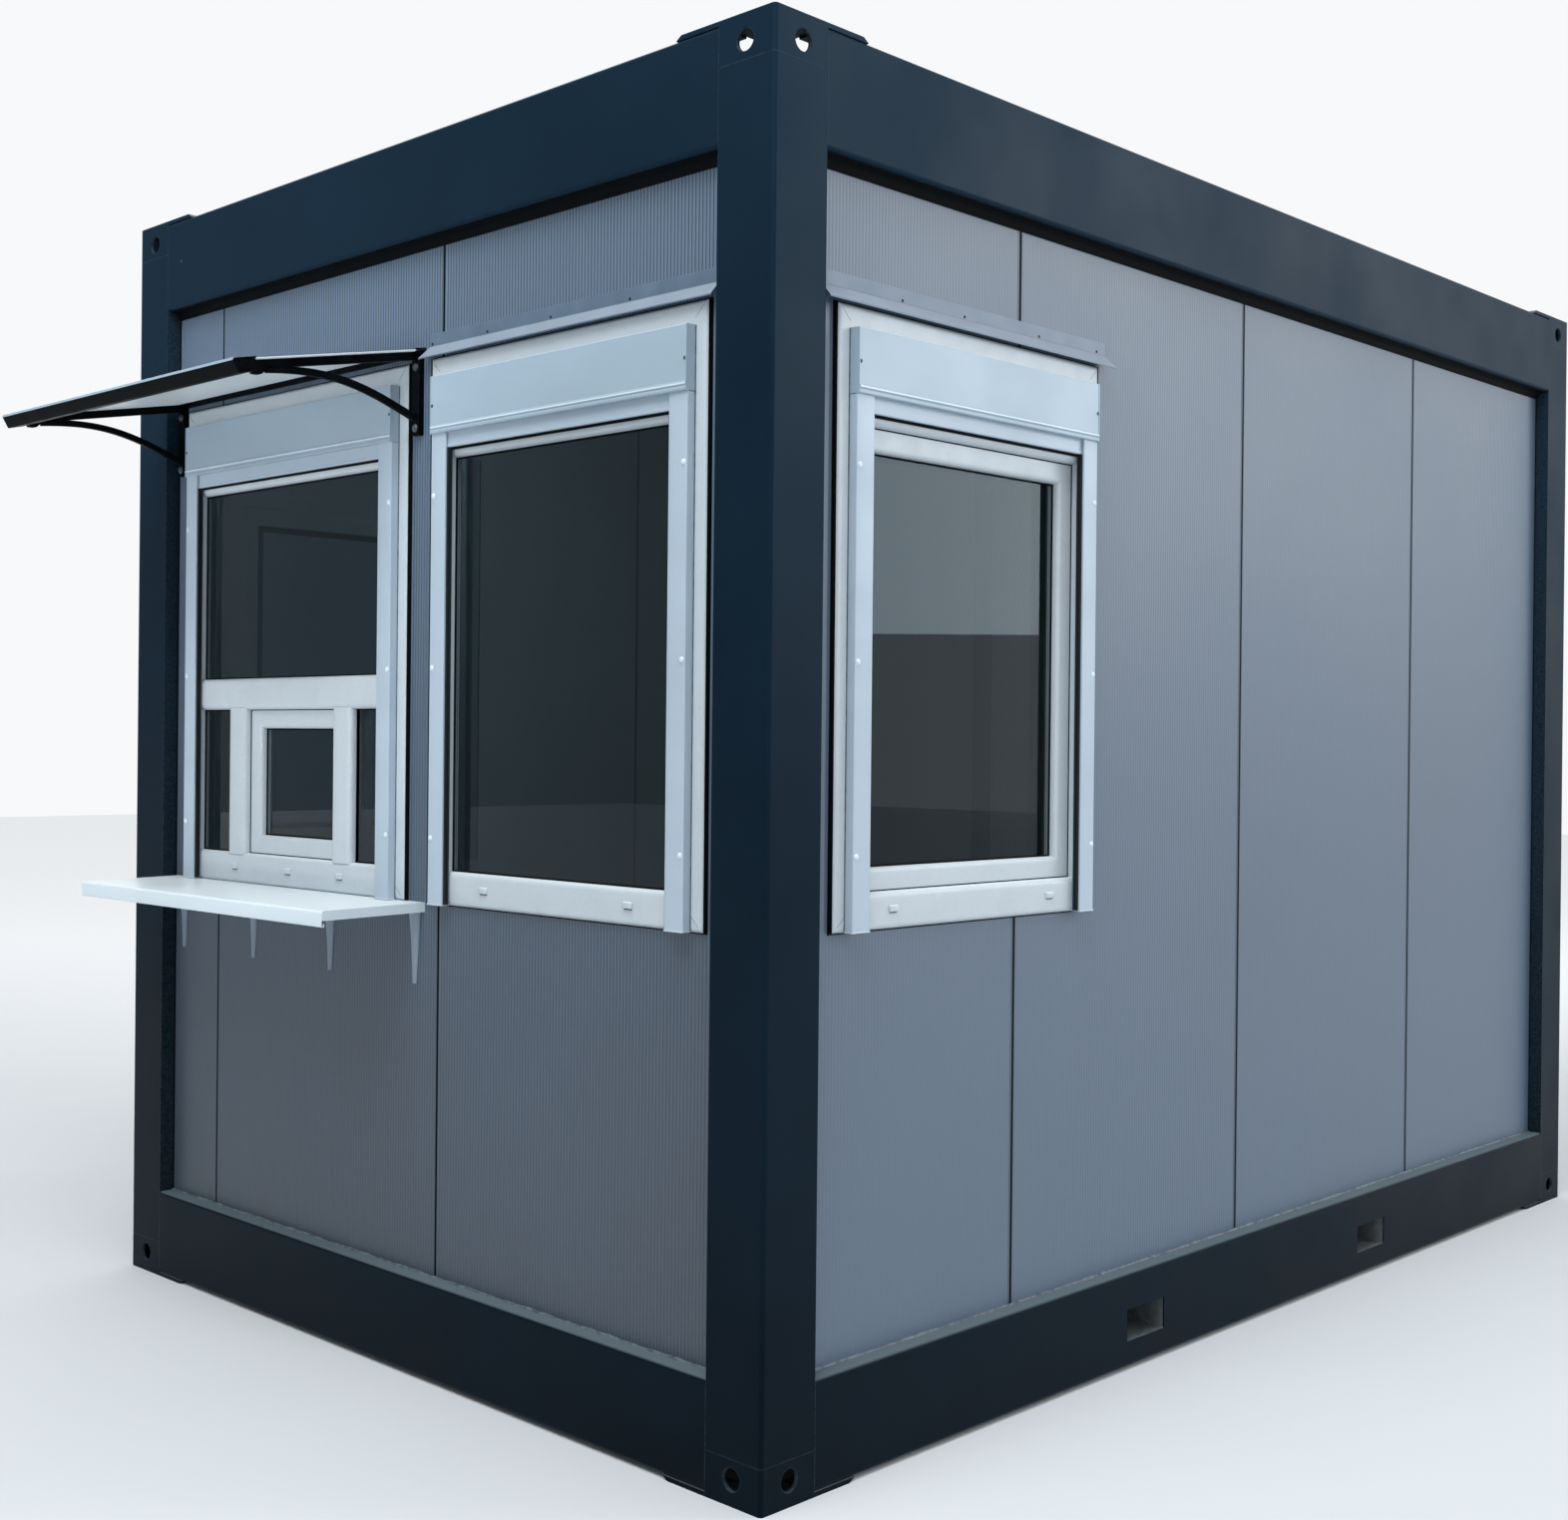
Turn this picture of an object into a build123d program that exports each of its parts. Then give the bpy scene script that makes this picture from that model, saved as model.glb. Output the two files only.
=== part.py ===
"""Security guard booth: a steel-framed cabin with sandwich walls, shuttered windows and a serving hatch.

The frame stands on the ground at z = 0. +Z is up, the hatch wall faces -Y and the long walls face
-X and +X. The origin is the middle of the footprint. All sizes are millimetres.
"""
import os

from build123d import *

# Overall size over the steel frame
WIDTH = 2500.0
LENGTH = 3930.0
HEIGHT = 2970.0

# Corner fittings: blocks, open inwards, with a pad that runs out over the rails
POST = 156.0
ARRIS = 9.0
FITTING_HEIGHT = 95.0
FITTING_WALL = 8.0
FITTING_HOLE = 50.0
HOLE_FROM_ARRIS = 82.0
HOLE_FROM_END = 54.0
PAD = 10.0
PAD_REACH = 265.0
PAD_BEVEL = 16.0
PAD_WIDTH = 80.0
LIFTING_SLOT = 96.0
LIFTING_SLOT_WIDTH = 54.0

# Posts and rails, folded from steel sheet
STEEL = 4.0
BOTTOM_RAIL = 227.0
TOP_RAIL = 243.0
LEDGE = 108.0
RAIL_LIP = 80.0
RAIL_ROUND = 9.0

# Floor
FORK_WIDTH = 165.0
FORK_HEIGHT = 76.0
FORK_SPACING = 1186.0
FORK_MIDDLE = 110.0
DECK = 22.0
JOIST_WIDTH = 60.0
JOIST_PITCH = 430.0
FLOOR_JOISTS = 9
TRAY = 2.0
TRAY_LEVEL = 50.0

# Roof and ceiling
CEILING = 16.0
ROOF_JOISTS = 7
ROOF_JOIST_HEIGHT = 135.0
ROOF_RIB = 35.0
ROOF_RIBS = 12
ROOF_CREST = 78.0
ROOF_FLANK = 20.0
ROOF_SHEET = 1.2

# Sandwich panels
RECESS = 42.0
PANEL = 60.0
PANEL_MODULE = 996.0
PANEL_GAP = 3.0
SIDE_JOINT = 867.0
END_JOINT = 1115.0
NARROWEST_PANEL = 60.0
TONGUE = 10.0
TONGUE_THICK = 20.0
TONGUE_PLAY = 0.5

# Plastic window frames
WINDOW_BOTTOM = 1128.0
WINDOW_FROM_SOFFIT = 289.0
WINDOW_WIDTH = 940.0
SIDE_WINDOW_FROM_POST = 72.0
FRONT_WINDOW_FROM_POST = 51.5
WINDOW_GAP = 90.5
HATCH_FROM_POST = 66.0
FRAME_PROUD = 14.0
FRAME_DEPTH = 70.0
FRAME_FACE = 80.0
HEADER = 243.0
FRAME_ROUND = 8.0
FRAME_BEVEL = 7.0
FRAME_LIP = 20.0
REBATE = 14.0
SEAT = 0.3
MULLION = 84.0
MULLION_SPACING = 495.0
TRANSOM_BOTTOM = 1594.0
SASH_SIGHT = 50.0
SASH_LIP = 20.0
SASH_PLAY = 0.5
SASH_BEVEL = 6.0
GLASS_REBATE = 12.0
GLASS = 24.0
GLASS_PLAY = 1.0

# Roller shutters on the window frames
GUIDE_INSET = 35.0
GUIDE_WIDTH = 55.0
GUIDE_DEPTH = 22.0
GUIDE_SLOT = 11.0
GUIDE_SLOT_DEPTH = 38.0
GUIDE_LIFT = 2.0
BOX_FROM_TOP = 50.0
BOX_HEIGHT = 137.0
BOX_DEPTH = 28.0
BEAD = 17.0
BEAD_PROUD = 2.5
SLAT_HEIGHT = 35.0
SLAT_THICK = 9.0

# Drip flashing above the windows
FLASHING = 1.5
FLASHING_FLANGE = 30.0
FLASHING_FALL = 28.0
FLASHING_REACH = 33.0
FLASHING_GAP = 4.0
SIDE_OVERHANG = 47.0
FRONT_OVERHANG = 26.0

# Shelf under the hatch
SHELF_OVERHANG_NEAR = 70.0
SHELF_OVERHANG_FAR = 50.0
SHELF_REACH = 292.0
SHELF_FALL = 5.0
SHELF_SHEET = 2.0
SHELF_SIDE = 22.0
SHELF_LIP = 38.0
SHELF_HEM = 8.0
BRACKETS = 4
BRACKET_INSET = 37.0
BRACKET_LEG = 196.0
BRACKET_ARM = 240.0
BRACKET_WIDE = 45.0
BRACKET_TIP = 13.0
BRACKET_STEEL = 6.0
BRACKET_WEB = 8.0
BRACKET_GUSSET = 60.0

# Canopy over the hatch
CANOPY_OVERHANG = 52.5
CANOPY_SHEET = 4.0
CANOPY_RISE = 24.0
CANOPY_FALL = 86.0
CANOPY_REACH = 449.0
WALL_PLATE_WIDTH = 30.0
WALL_PLATE_DEPTH = 16.0
WALL_PLATE_HEIGHT = 201.0
BRACKET_FROM_EDGE = 20.0
ARM_THICK = 16.0
ARM_HEIGHT = 20.0
ARM_NOSE = 30.0
STRUT = 16.0
STRUT_FOOT_DROP = 164.0
STRUT_MIDDLE_REACH = 186.0
STRUT_MIDDLE_DROP = 65.0
NOSE_LENGTH = 40.0
FRONT_RAIL_DEPTH = 60.0
FRONT_RAIL_HEIGHT = 26.0
FRONT_RAIL_LEAN = 16.0
WALL_RAIL_DEPTH = 30.0
WALL_RAIL_DROP = 12.0
RAIL_SHEET = 3.0

# Door in the rear wall
DOOR_WIDTH = 960.0
DOOR_HEIGHT = 2080.0
DOOR_FRAME_FACE = 55.0
DOOR_FRAME_OUT = 44.0
DOOR_THRESHOLD = 30.0
LEAF_LAP = 14.0
LEAF_SKIN = 8.0
LEAF_BODY = 46.0
LEAF_PLAY = 4.0
HANDLE_LEVEL = 1050.0
HANDLE_PLATE_WIDTH = 42.0
HANDLE_PLATE_HEIGHT = 230.0
HANDLE_PLATE = 6.0
HANDLE_FROM_EDGE = 62.0
LEVER = 15.0
LEVER_LENGTH = 120.0
LEVER_STANDOFF = 27.0
HINGES = 3
HINGE_ROUND = 16.0
HINGE_LENGTH = 110.0
HINGE_LEAF = 3.0
HINGE_PLATE = 30.0

# Levels and faces that several pieces share
LEDGE_LEVEL = PAD + BOTTOM_RAIL
SOFFIT_LEVEL = HEIGHT - PAD - TOP_RAIL
FLOOR_LEVEL = LEDGE_LEVEL - STEEL
CEILING_LEVEL = SOFFIT_LEVEL + STEEL
PANEL_BACK = RECESS + PANEL
FRAME_OUT = RECESS - FRAME_PROUD
FRAME_BACK = FRAME_OUT + FRAME_DEPTH
LIP_BACK = FRAME_OUT + FRAME_LIP
SASH_OUT = LIP_BACK + SEAT
WINDOW_TOP = SOFFIT_LEVEL - WINDOW_FROM_SOFFIT
HATCH_WIDTH = WIDTH - 2 * POST - FRONT_WINDOW_FROM_POST - WINDOW_WIDTH - WINDOW_GAP - HATCH_FROM_POST
BOX_TOP = WINDOW_TOP - BOX_FROM_TOP
BOX_BOTTOM = BOX_TOP - BOX_HEIGHT
GUIDE_BOTTOM = WINDOW_BOTTOM + GUIDE_LIFT
GLASS_BOTTOM = WINDOW_BOTTOM + FRAME_FACE
GLASS_TOP = WINDOW_TOP - HEADER
GUIDE_OUT = FRAME_OUT - GUIDE_DEPTH
BOX_OUT = FRAME_OUT - BOX_DEPTH

os.makedirs("parts", exist_ok=True)


def save(builder, name):
    """Label a finished sub-part and write it as its own STEP file."""
    builder.part.label = name
    export_step(builder.part, f"parts/{name}.step")


def wall_plane(x, y, along, outward):
    """Plane on the outer face of the frame: x runs along the wall, y is up, z points outwards."""
    return Plane(origin=(x, y, 0), x_dir=along, z_dir=outward)


FRONT = wall_plane(0, -LENGTH / 2, (1, 0, 0), (0, -1, 0))
RIGHT = wall_plane(WIDTH / 2, 0, (0, 1, 0), (1, 0, 0))
BACK = wall_plane(0, LENGTH / 2, (-1, 0, 0), (0, 1, 0))
LEFT = wall_plane(-WIDTH / 2, 0, (0, -1, 0), (-1, 0, 0))


def slab(wall, across, up, inward, mode=Mode.ADD):
    """Add or cut a slab: (start, end) along the wall, (low, high) and (outer, inner) depth."""
    width = across[1] - across[0]
    height = up[1] - up[0]
    with BuildSketch(wall.offset(-inward[1])) as outline:
        with Locations(((across[0] + across[1]) / 2, (up[0] + up[1]) / 2)):
            Rectangle(width, height)
    extrude(outline.sketch, amount=inward[1] - inward[0], mode=mode)


def section_plane(wall, across):
    """Plane square to a wall: x is the depth inwards from the outer face, y is up."""
    return Plane(origin=wall.origin + wall.x_dir * across, x_dir=-wall.z_dir, z_dir=wall.x_dir)


def section_bar(wall, points, across, mode=Mode.ADD):
    """Extrude a closed outline of (depth, level) points along a wall."""
    with BuildSketch(section_plane(wall, across[0])) as outline:
        with BuildLine():
            Polyline(*points, close=True)
        make_face()
    extrude(outline.sketch, amount=across[1] - across[0], mode=mode)


def grown(window, margin):
    """The (across, up) ranges of an opening, each side moved out by a margin."""
    across, up = window
    return (across[0] - margin, across[1] + margin), (up[0] - margin, up[1] + margin)


def corners():
    """Signs of x and y of the four corners."""
    return [(side, end) for side in (-1, 1) for end in (-1, 1)]


def corner_cutouts(low, high):
    """Cut the square of each corner post out of a flat sheet."""
    with BuildSketch(Plane.XY.offset(low)) as squares:
        with GridLocations(WIDTH - POST, LENGTH - POST, 2, 2):
            Rectangle(POST, POST)
    extrude(squares.sketch, amount=high - low, mode=Mode.SUBTRACT)


# Corner posts
with BuildPart() as corner_posts:
    for side, end in corners():
        with BuildSketch(Plane.XY.offset(FITTING_HEIGHT)) as post:
            with Locations((side * (WIDTH - POST) / 2, end * (LENGTH - POST) / 2)):
                Rectangle(POST, POST)
            fillet(post.vertices().sort_by_distance((0, 0, 0))[-1], radius=ARRIS)
            offset(amount=-STEEL, mode=Mode.SUBTRACT)
        extrude(amount=HEIGHT - 2 * FITTING_HEIGHT)
save(corner_posts, "corner_posts")


def pad_arm(plane, start, way, level, rise, depth):
    """One arm of a fitting's pad, with its bevelled end, along the rail that starts at a corner."""
    with BuildSketch(plane) as arm:
        with BuildLine():
            Polyline(
                (start - way * POST / 2, level),
                (start - way * PAD_REACH, level),
                (start - way * (PAD_REACH + PAD_BEVEL), level + rise),
                (start - way * POST / 2, level + rise),
                close=True,
            )
        make_face()
    extrude(arm.sketch, amount=depth)


def corner_fittings(ground, rise):
    """Four blocks, open inwards, with a hole in each outer face, a slotted end plate and pads on the rails."""
    with BuildPart() as blocks:
        for side, end in corners():
            low = min(ground, ground + rise * FITTING_HEIGHT)
            middle = (side * (WIDTH - POST) / 2, end * (LENGTH - POST) / 2)
            with BuildSketch(Plane.XY.offset(low)) as block:
                with Locations(middle):
                    Rectangle(POST, POST)
                fillet(block.vertices().sort_by_distance((0, 0, 0))[-1], radius=ARRIS)
            extrude(amount=FITTING_HEIGHT)
            pad_arm(Plane.XZ.offset(-end * LENGTH / 2), side * WIDTH / 2, side, ground, rise * PAD,
                    end * PAD_WIDTH)
            pad_arm(Plane.YZ.offset(side * WIDTH / 2), end * LENGTH / 2, end, ground, rise * PAD,
                    -side * PAD_WIDTH)
            inner = (middle[0] - side * FITTING_WALL / 2, middle[1] - end * FITTING_WALL / 2)
            with Locations((*inner, ground + rise * (PAD + FITTING_HEIGHT - FITTING_WALL) / 2)):
                Box(POST - FITTING_WALL, POST - FITTING_WALL, FITTING_HEIGHT - PAD - FITTING_WALL,
                    mode=Mode.SUBTRACT)
            with BuildSketch(Plane.XY.offset(ground)):
                with Locations(middle):
                    SlotOverall(LIFTING_SLOT, LIFTING_SLOT_WIDTH)
            extrude(amount=rise * PAD, mode=Mode.SUBTRACT)
            level = ground + rise * HOLE_FROM_END
            with BuildSketch(Plane.XZ.offset(-end * LENGTH / 2)):
                with Locations((side * (WIDTH / 2 - HOLE_FROM_ARRIS), level)):
                    Circle(FITTING_HOLE / 2)
            extrude(amount=end * FITTING_WALL, mode=Mode.SUBTRACT)
            with BuildSketch(Plane.YZ.offset(side * WIDTH / 2)):
                with Locations((end * (LENGTH / 2 - HOLE_FROM_ARRIS), level)):
                    Circle(FITTING_HOLE / 2)
            extrude(amount=-side * FITTING_WALL, mode=Mode.SUBTRACT)
    return blocks


save(corner_fittings(0, 1), "corner_blocks_bottom")
save(corner_fittings(HEIGHT, -1), "corner_blocks_top")


def fork_pockets():
    """Ranges of the two fork pockets in a long rail's web."""
    low = FORK_MIDDLE - FORK_HEIGHT / 2
    for middle in (-FORK_SPACING / 2, FORK_SPACING / 2):
        yield (middle - FORK_WIDTH / 2, middle + FORK_WIDTH / 2), (low, low + FORK_HEIGHT)


def rail(wall, span, low, high, foot, head, pockets=()):
    """C-section rail between two posts: foot and head are the widths of its lower and upper flange."""
    deep = max(foot, head)
    middle = (low + high) / 2
    with BuildPart() as profile:
        with BuildSketch(section_plane(wall, POST - span / 2)) as section:
            with Locations((deep / 2, middle)):
                Rectangle(deep, high - low)
            fillet(section.vertices().group_by(Axis.X)[0], radius=RAIL_ROUND)
            with Locations((STEEL + deep, middle)):
                RectangleRounded(2 * deep, high - low - 2 * STEEL, RAIL_ROUND - STEEL, mode=Mode.SUBTRACT)
            if foot < deep:
                with Locations(((deep + foot) / 2, low + STEEL / 2)):
                    Rectangle(deep - foot, STEEL, mode=Mode.SUBTRACT)
            if head < deep:
                with Locations(((deep + head) / 2, high - STEEL / 2)):
                    Rectangle(deep - head, STEEL, mode=Mode.SUBTRACT)
        extrude(amount=span - 2 * POST)
        for across, up in pockets:
            slab(wall, across, up, (0, STEEL), Mode.SUBTRACT)
    return profile


WALLS = {"front": (FRONT, WIDTH), "right": (RIGHT, LENGTH), "back": (BACK, WIDTH), "left": (LEFT, LENGTH)}

for place, (wall, span) in WALLS.items():
    pockets = list(fork_pockets()) if place in ("left", "right") else []
    save(rail(wall, span, PAD, LEDGE_LEVEL, RAIL_LIP, LEDGE, pockets), f"bottom_rail_{place}")
    save(rail(wall, span, SOFFIT_LEVEL, HEIGHT - PAD, LEDGE, RAIL_LIP), f"top_rail_{place}")

# Fork tunnels from web to web
with BuildPart() as fork_tunnels:
    with BuildSketch(Plane.YZ.offset(STEEL - WIDTH / 2)) as tubes:
        with Locations((-FORK_SPACING / 2, FORK_MIDDLE), (FORK_SPACING / 2, FORK_MIDDLE)):
            Rectangle(FORK_WIDTH + 2 * STEEL, FORK_HEIGHT + 2 * STEEL)
            Rectangle(FORK_WIDTH, FORK_HEIGHT, mode=Mode.SUBTRACT)
    extrude(amount=WIDTH - 2 * STEEL)
save(fork_tunnels, "fork_tunnels")

# Floor: a sheet tray, joists that span the width and a board deck
JOIST_BOTTOM = TRAY_LEVEL + TRAY
JOIST_TOP = FLOOR_LEVEL - DECK
with BuildPart() as floor_joists:
    with BuildSketch(Plane.YZ.offset(STEEL - WIDTH / 2)) as tubes:
        with GridLocations(JOIST_PITCH, JOIST_PITCH, FLOOR_JOISTS, 1):
            with Locations((0, (JOIST_BOTTOM + JOIST_TOP) / 2)):
                Rectangle(JOIST_WIDTH, JOIST_TOP - JOIST_BOTTOM)
                Rectangle(JOIST_WIDTH - 2 * STEEL, JOIST_TOP - JOIST_BOTTOM - 2 * STEEL, mode=Mode.SUBTRACT)
    extrude(amount=WIDTH - 2 * STEEL)
save(floor_joists, "floor_joists")


def floor_sheet(low, thickness, inset):
    """Flat sheet inside the rails, set in from their faces, with its corners cut out for the posts."""
    with BuildPart() as sheet:
        with BuildSketch(Plane.XY.offset(low)):
            Rectangle(WIDTH - 2 * inset, LENGTH - 2 * inset)
        extrude(amount=thickness)
        corner_cutouts(low, low + thickness)
    return sheet


save(floor_sheet(TRAY_LEVEL, TRAY, STEEL), "floor_tray")
save(floor_sheet(JOIST_TOP, DECK, RAIL_ROUND), "floor_deck")

# Ceiling board on the top rails' ledges
with BuildPart() as ceiling:
    with BuildSketch(Plane.XY.offset(CEILING_LEVEL)):
        Rectangle(WIDTH - LEDGE, LENGTH - LEDGE)
    extrude(amount=CEILING)
    corner_cutouts(CEILING_LEVEL, CEILING_LEVEL + CEILING)
save(ceiling, "ceiling")

# Roof joists and the ribbed sheet they carry, sunk between the top rails
ROOF_JOIST_LEVEL = CEILING_LEVEL + CEILING
ROOF_LEVEL = ROOF_JOIST_LEVEL + ROOF_JOIST_HEIGHT
ROOF_JOIST_PITCH = (LENGTH - 2 * POST) / ROOF_JOISTS
with BuildPart() as roof_joists:
    with BuildSketch(Plane.YZ.offset(STEEL - WIDTH / 2)) as tubes:
        with GridLocations(ROOF_JOIST_PITCH, ROOF_JOIST_PITCH, ROOF_JOISTS, 1):
            with Locations((0, ROOF_JOIST_LEVEL + ROOF_JOIST_HEIGHT / 2)):
                Rectangle(JOIST_WIDTH, ROOF_JOIST_HEIGHT)
                Rectangle(JOIST_WIDTH - 2 * STEEL, ROOF_JOIST_HEIGHT - 2 * STEEL, mode=Mode.SUBTRACT)
    extrude(amount=WIDTH - 2 * STEEL)
save(roof_joists, "roof_joists")


def rib_line(level):
    """Points of the ribbed sheet's section at one face, from the left web to the right web."""
    pitch = (WIDTH - 2 * STEEL) / ROOF_RIBS
    trough = (pitch - ROOF_CREST) / 2 - ROOF_FLANK
    points = [(STEEL - WIDTH / 2, level)]
    for rib in range(ROOF_RIBS):
        start = STEEL - WIDTH / 2 + rib * pitch + trough
        points.append((start, level))
        points.append((start + ROOF_FLANK, level + ROOF_RIB))
        points.append((start + ROOF_FLANK + ROOF_CREST, level + ROOF_RIB))
        points.append((start + 2 * ROOF_FLANK + ROOF_CREST, level))
    points.append((WIDTH / 2 - STEEL, level))
    return points


with BuildPart() as roof_sheet:
    with BuildSketch(Plane.XZ.offset(-(LENGTH / 2 - STEEL))):
        with BuildLine():
            Polyline(*rib_line(ROOF_LEVEL), *reversed(rib_line(ROOF_LEVEL + ROOF_SHEET)), close=True)
        make_face()
    extrude(amount=LENGTH - 2 * STEEL)
    corner_cutouts(ROOF_LEVEL, ROOF_LEVEL + ROOF_RIB + ROOF_SHEET)
save(roof_sheet, "roof_sheet")

# Windows: where each stands on its wall, as (across, up) ranges
WINDOW_UP = (WINDOW_BOTTOM, WINDOW_TOP)


def window_range(wall_span, from_post, width, near_sign):
    """Range along a wall of a window that starts at a distance from a corner post."""
    near = near_sign * (wall_span / 2 - POST - from_post)
    far = near - near_sign * width
    return min(near, far), max(near, far)


WINDOWS = {
    "right": (RIGHT, window_range(LENGTH, SIDE_WINDOW_FROM_POST, WINDOW_WIDTH, -1)),
    "left": (LEFT, window_range(LENGTH, SIDE_WINDOW_FROM_POST, WINDOW_WIDTH, 1)),
    "front": (FRONT, window_range(WIDTH, FRONT_WINDOW_FROM_POST, WINDOW_WIDTH, 1)),
    "hatch": (FRONT, window_range(WIDTH, HATCH_FROM_POST, HATCH_WIDTH, -1)),
}
DOOR_RANGE = ((-DOOR_WIDTH / 2, DOOR_WIDTH / 2), (LEDGE_LEVEL, LEDGE_LEVEL + DOOR_HEIGHT))


def wall_panels(wall, span, joints, openings):
    """Sandwich panels from post to post, each with a tongue that sits in the next one's groove."""
    middle = RECESS + PANEL / 2
    edges = [POST - span / 2, *joints, span / 2 - POST]
    up = (LEDGE_LEVEL, SOFFIT_LEVEL)
    with BuildPart() as panels:
        for number in range(len(edges) - 1):
            first = number == 0
            last = number == len(edges) - 2
            start = edges[number] + (0 if first else PANEL_GAP / 2)
            stop = edges[number + 1] - (0 if last else PANEL_GAP / 2)
            slab(wall, (start, stop), up, (RECESS, PANEL_BACK))
        for joint in joints:
            groove = joint + PANEL_GAP / 2
            reach = TONGUE_THICK / 2 + TONGUE_PLAY
            slab(wall, (groove, groove + TONGUE + TONGUE_PLAY), up, (middle - reach, middle + reach),
                 Mode.SUBTRACT)
            slab(wall, (joint - PANEL_GAP / 2, groove + TONGUE), up,
                 (middle - TONGUE_THICK / 2, middle + TONGUE_THICK / 2))
        for across, rise in openings:
            slab(wall, across, rise, (RECESS, PANEL_BACK), Mode.SUBTRACT)
    return panels


def joints_from(first, span, near_sign):
    """Joint positions along a wall, stepping off by the panel module from one corner while panels fit."""
    steps = int((span - POST - NARROWEST_PANEL - first) // PANEL_MODULE) + 1
    return sorted(near_sign * (span / 2 - first - number * PANEL_MODULE) for number in range(steps))


save(wall_panels(FRONT, WIDTH, joints_from(END_JOINT, WIDTH, 1),
                 [(WINDOWS["front"][1], WINDOW_UP), (WINDOWS["hatch"][1], WINDOW_UP)]), "wall_front")
save(wall_panels(RIGHT, LENGTH, joints_from(SIDE_JOINT, LENGTH, -1),
                 [(WINDOWS["right"][1], WINDOW_UP)]), "wall_right")
save(wall_panels(LEFT, LENGTH, joints_from(SIDE_JOINT, LENGTH, 1),
                 [(WINDOWS["left"][1], WINDOW_UP)]), "wall_left")
save(wall_panels(BACK, WIDTH, joints_from(END_JOINT, WIDTH, -1), [DOOR_RANGE]), "wall_back")


def framed(wall, outside, depth, lip_back, sights, rebate, rounding, bevel):
    """A window member frame: sights are its clear openings, each with a wider rebate behind a lip."""
    outward = Axis((0, 0, 0), tuple(wall.z_dir))
    with BuildPart() as member:
        slab(wall, *outside, depth)
        if rounding:
            fillet(member.faces().sort_by(outward)[-1].edges(), radius=rounding)
        for sight in sights:
            slab(wall, *sight, (depth[0], lip_back), Mode.SUBTRACT)
            slab(wall, *grown(sight, rebate), (lip_back, depth[1]), Mode.SUBTRACT)
        chamfer(member.faces().sort_by(outward)[-1].inner_wires().edges(), length=bevel)
    return member


def window_sights(name):
    """Clear openings of a window frame: one, or the hatch window's top light, side lights and hatch."""
    across = WINDOWS[name][1]
    left = across[0] + FRAME_FACE
    right = across[1] - FRAME_FACE
    if name != "hatch":
        return [((left, right), (GLASS_BOTTOM, GLASS_TOP))]
    middle = (left + right) / 2
    low = (GLASS_BOTTOM, TRANSOM_BOTTOM)
    inner = (MULLION_SPACING - MULLION) / 2
    outer = (MULLION_SPACING + MULLION) / 2
    return [
        ((left, right), (TRANSOM_BOTTOM + MULLION, GLASS_TOP)),
        ((left, middle - outer), low),
        ((middle + outer, right), low),
        ((middle - inner, middle + inner), low),
    ]


def sash(wall, sight):
    """Opening sash behind a frame's lip."""
    outside = grown(sight, REBATE - SASH_PLAY)
    glass_sight = grown(sight, -SASH_SIGHT)
    return framed(wall, outside, (SASH_OUT, FRAME_BACK), SASH_OUT + SASH_LIP, [glass_sight], GLASS_REBATE, 0,
                  SASH_BEVEL)


for name, (wall, across) in WINDOWS.items():
    save(framed(wall, (across, WINDOW_UP), (FRAME_OUT, FRAME_BACK), LIP_BACK, window_sights(name), REBATE,
                FRAME_ROUND, FRAME_BEVEL), f"window_frame_{name}")

HATCH_SIGHT = window_sights("hatch")[-1]
SASHES = {
    "right": (RIGHT, window_sights("right")[0]),
    "left": (LEFT, window_sights("left")[0]),
    "hatch": (FRONT, HATCH_SIGHT),
}
for name, (wall, sight) in SASHES.items():
    save(sash(wall, sight), f"sash_{name}")

# Double-glazed panes: behind the frames' lips where fixed, behind the sashes' lips where they open
with BuildPart() as window_panes:
    for name in ("front", "hatch"):
        fixed = window_sights(name)
        for sight in fixed[:3]:
            pane = grown(sight, REBATE - GLASS_PLAY)
            slab(FRONT, *pane, (LIP_BACK + SEAT, LIP_BACK + SEAT + GLASS))
    for wall, sight in SASHES.values():
        pane = grown(sight, GLASS_REBATE - GLASS_PLAY - SASH_SIGHT)
        face = SASH_OUT + SASH_LIP + SEAT
        slab(wall, *pane, (face, face + GLASS))
save(window_panes, "window_panes")

# Roller shutter boxes on the window headers, with a folded bead along the bottom edge
BOX_UP = (BOX_BOTTOM, BOX_TOP)
for name, (wall, across) in WINDOWS.items():
    inset = (across[0] + GUIDE_INSET, across[1] - GUIDE_INSET)
    with BuildPart() as shutter_box:
        slab(wall, inset, BOX_UP, (BOX_OUT + BEAD_PROUD, FRAME_OUT))
        section_bar(wall, [
            (BOX_OUT + BEAD_PROUD, BOX_BOTTOM),
            (BOX_OUT, BOX_BOTTOM + BEAD_PROUD),
            (BOX_OUT, BOX_BOTTOM + BEAD - BEAD_PROUD),
            (BOX_OUT + BEAD_PROUD, BOX_BOTTOM + BEAD),
        ], inset)
    save(shutter_box, f"shutter_box_{name}")

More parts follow.
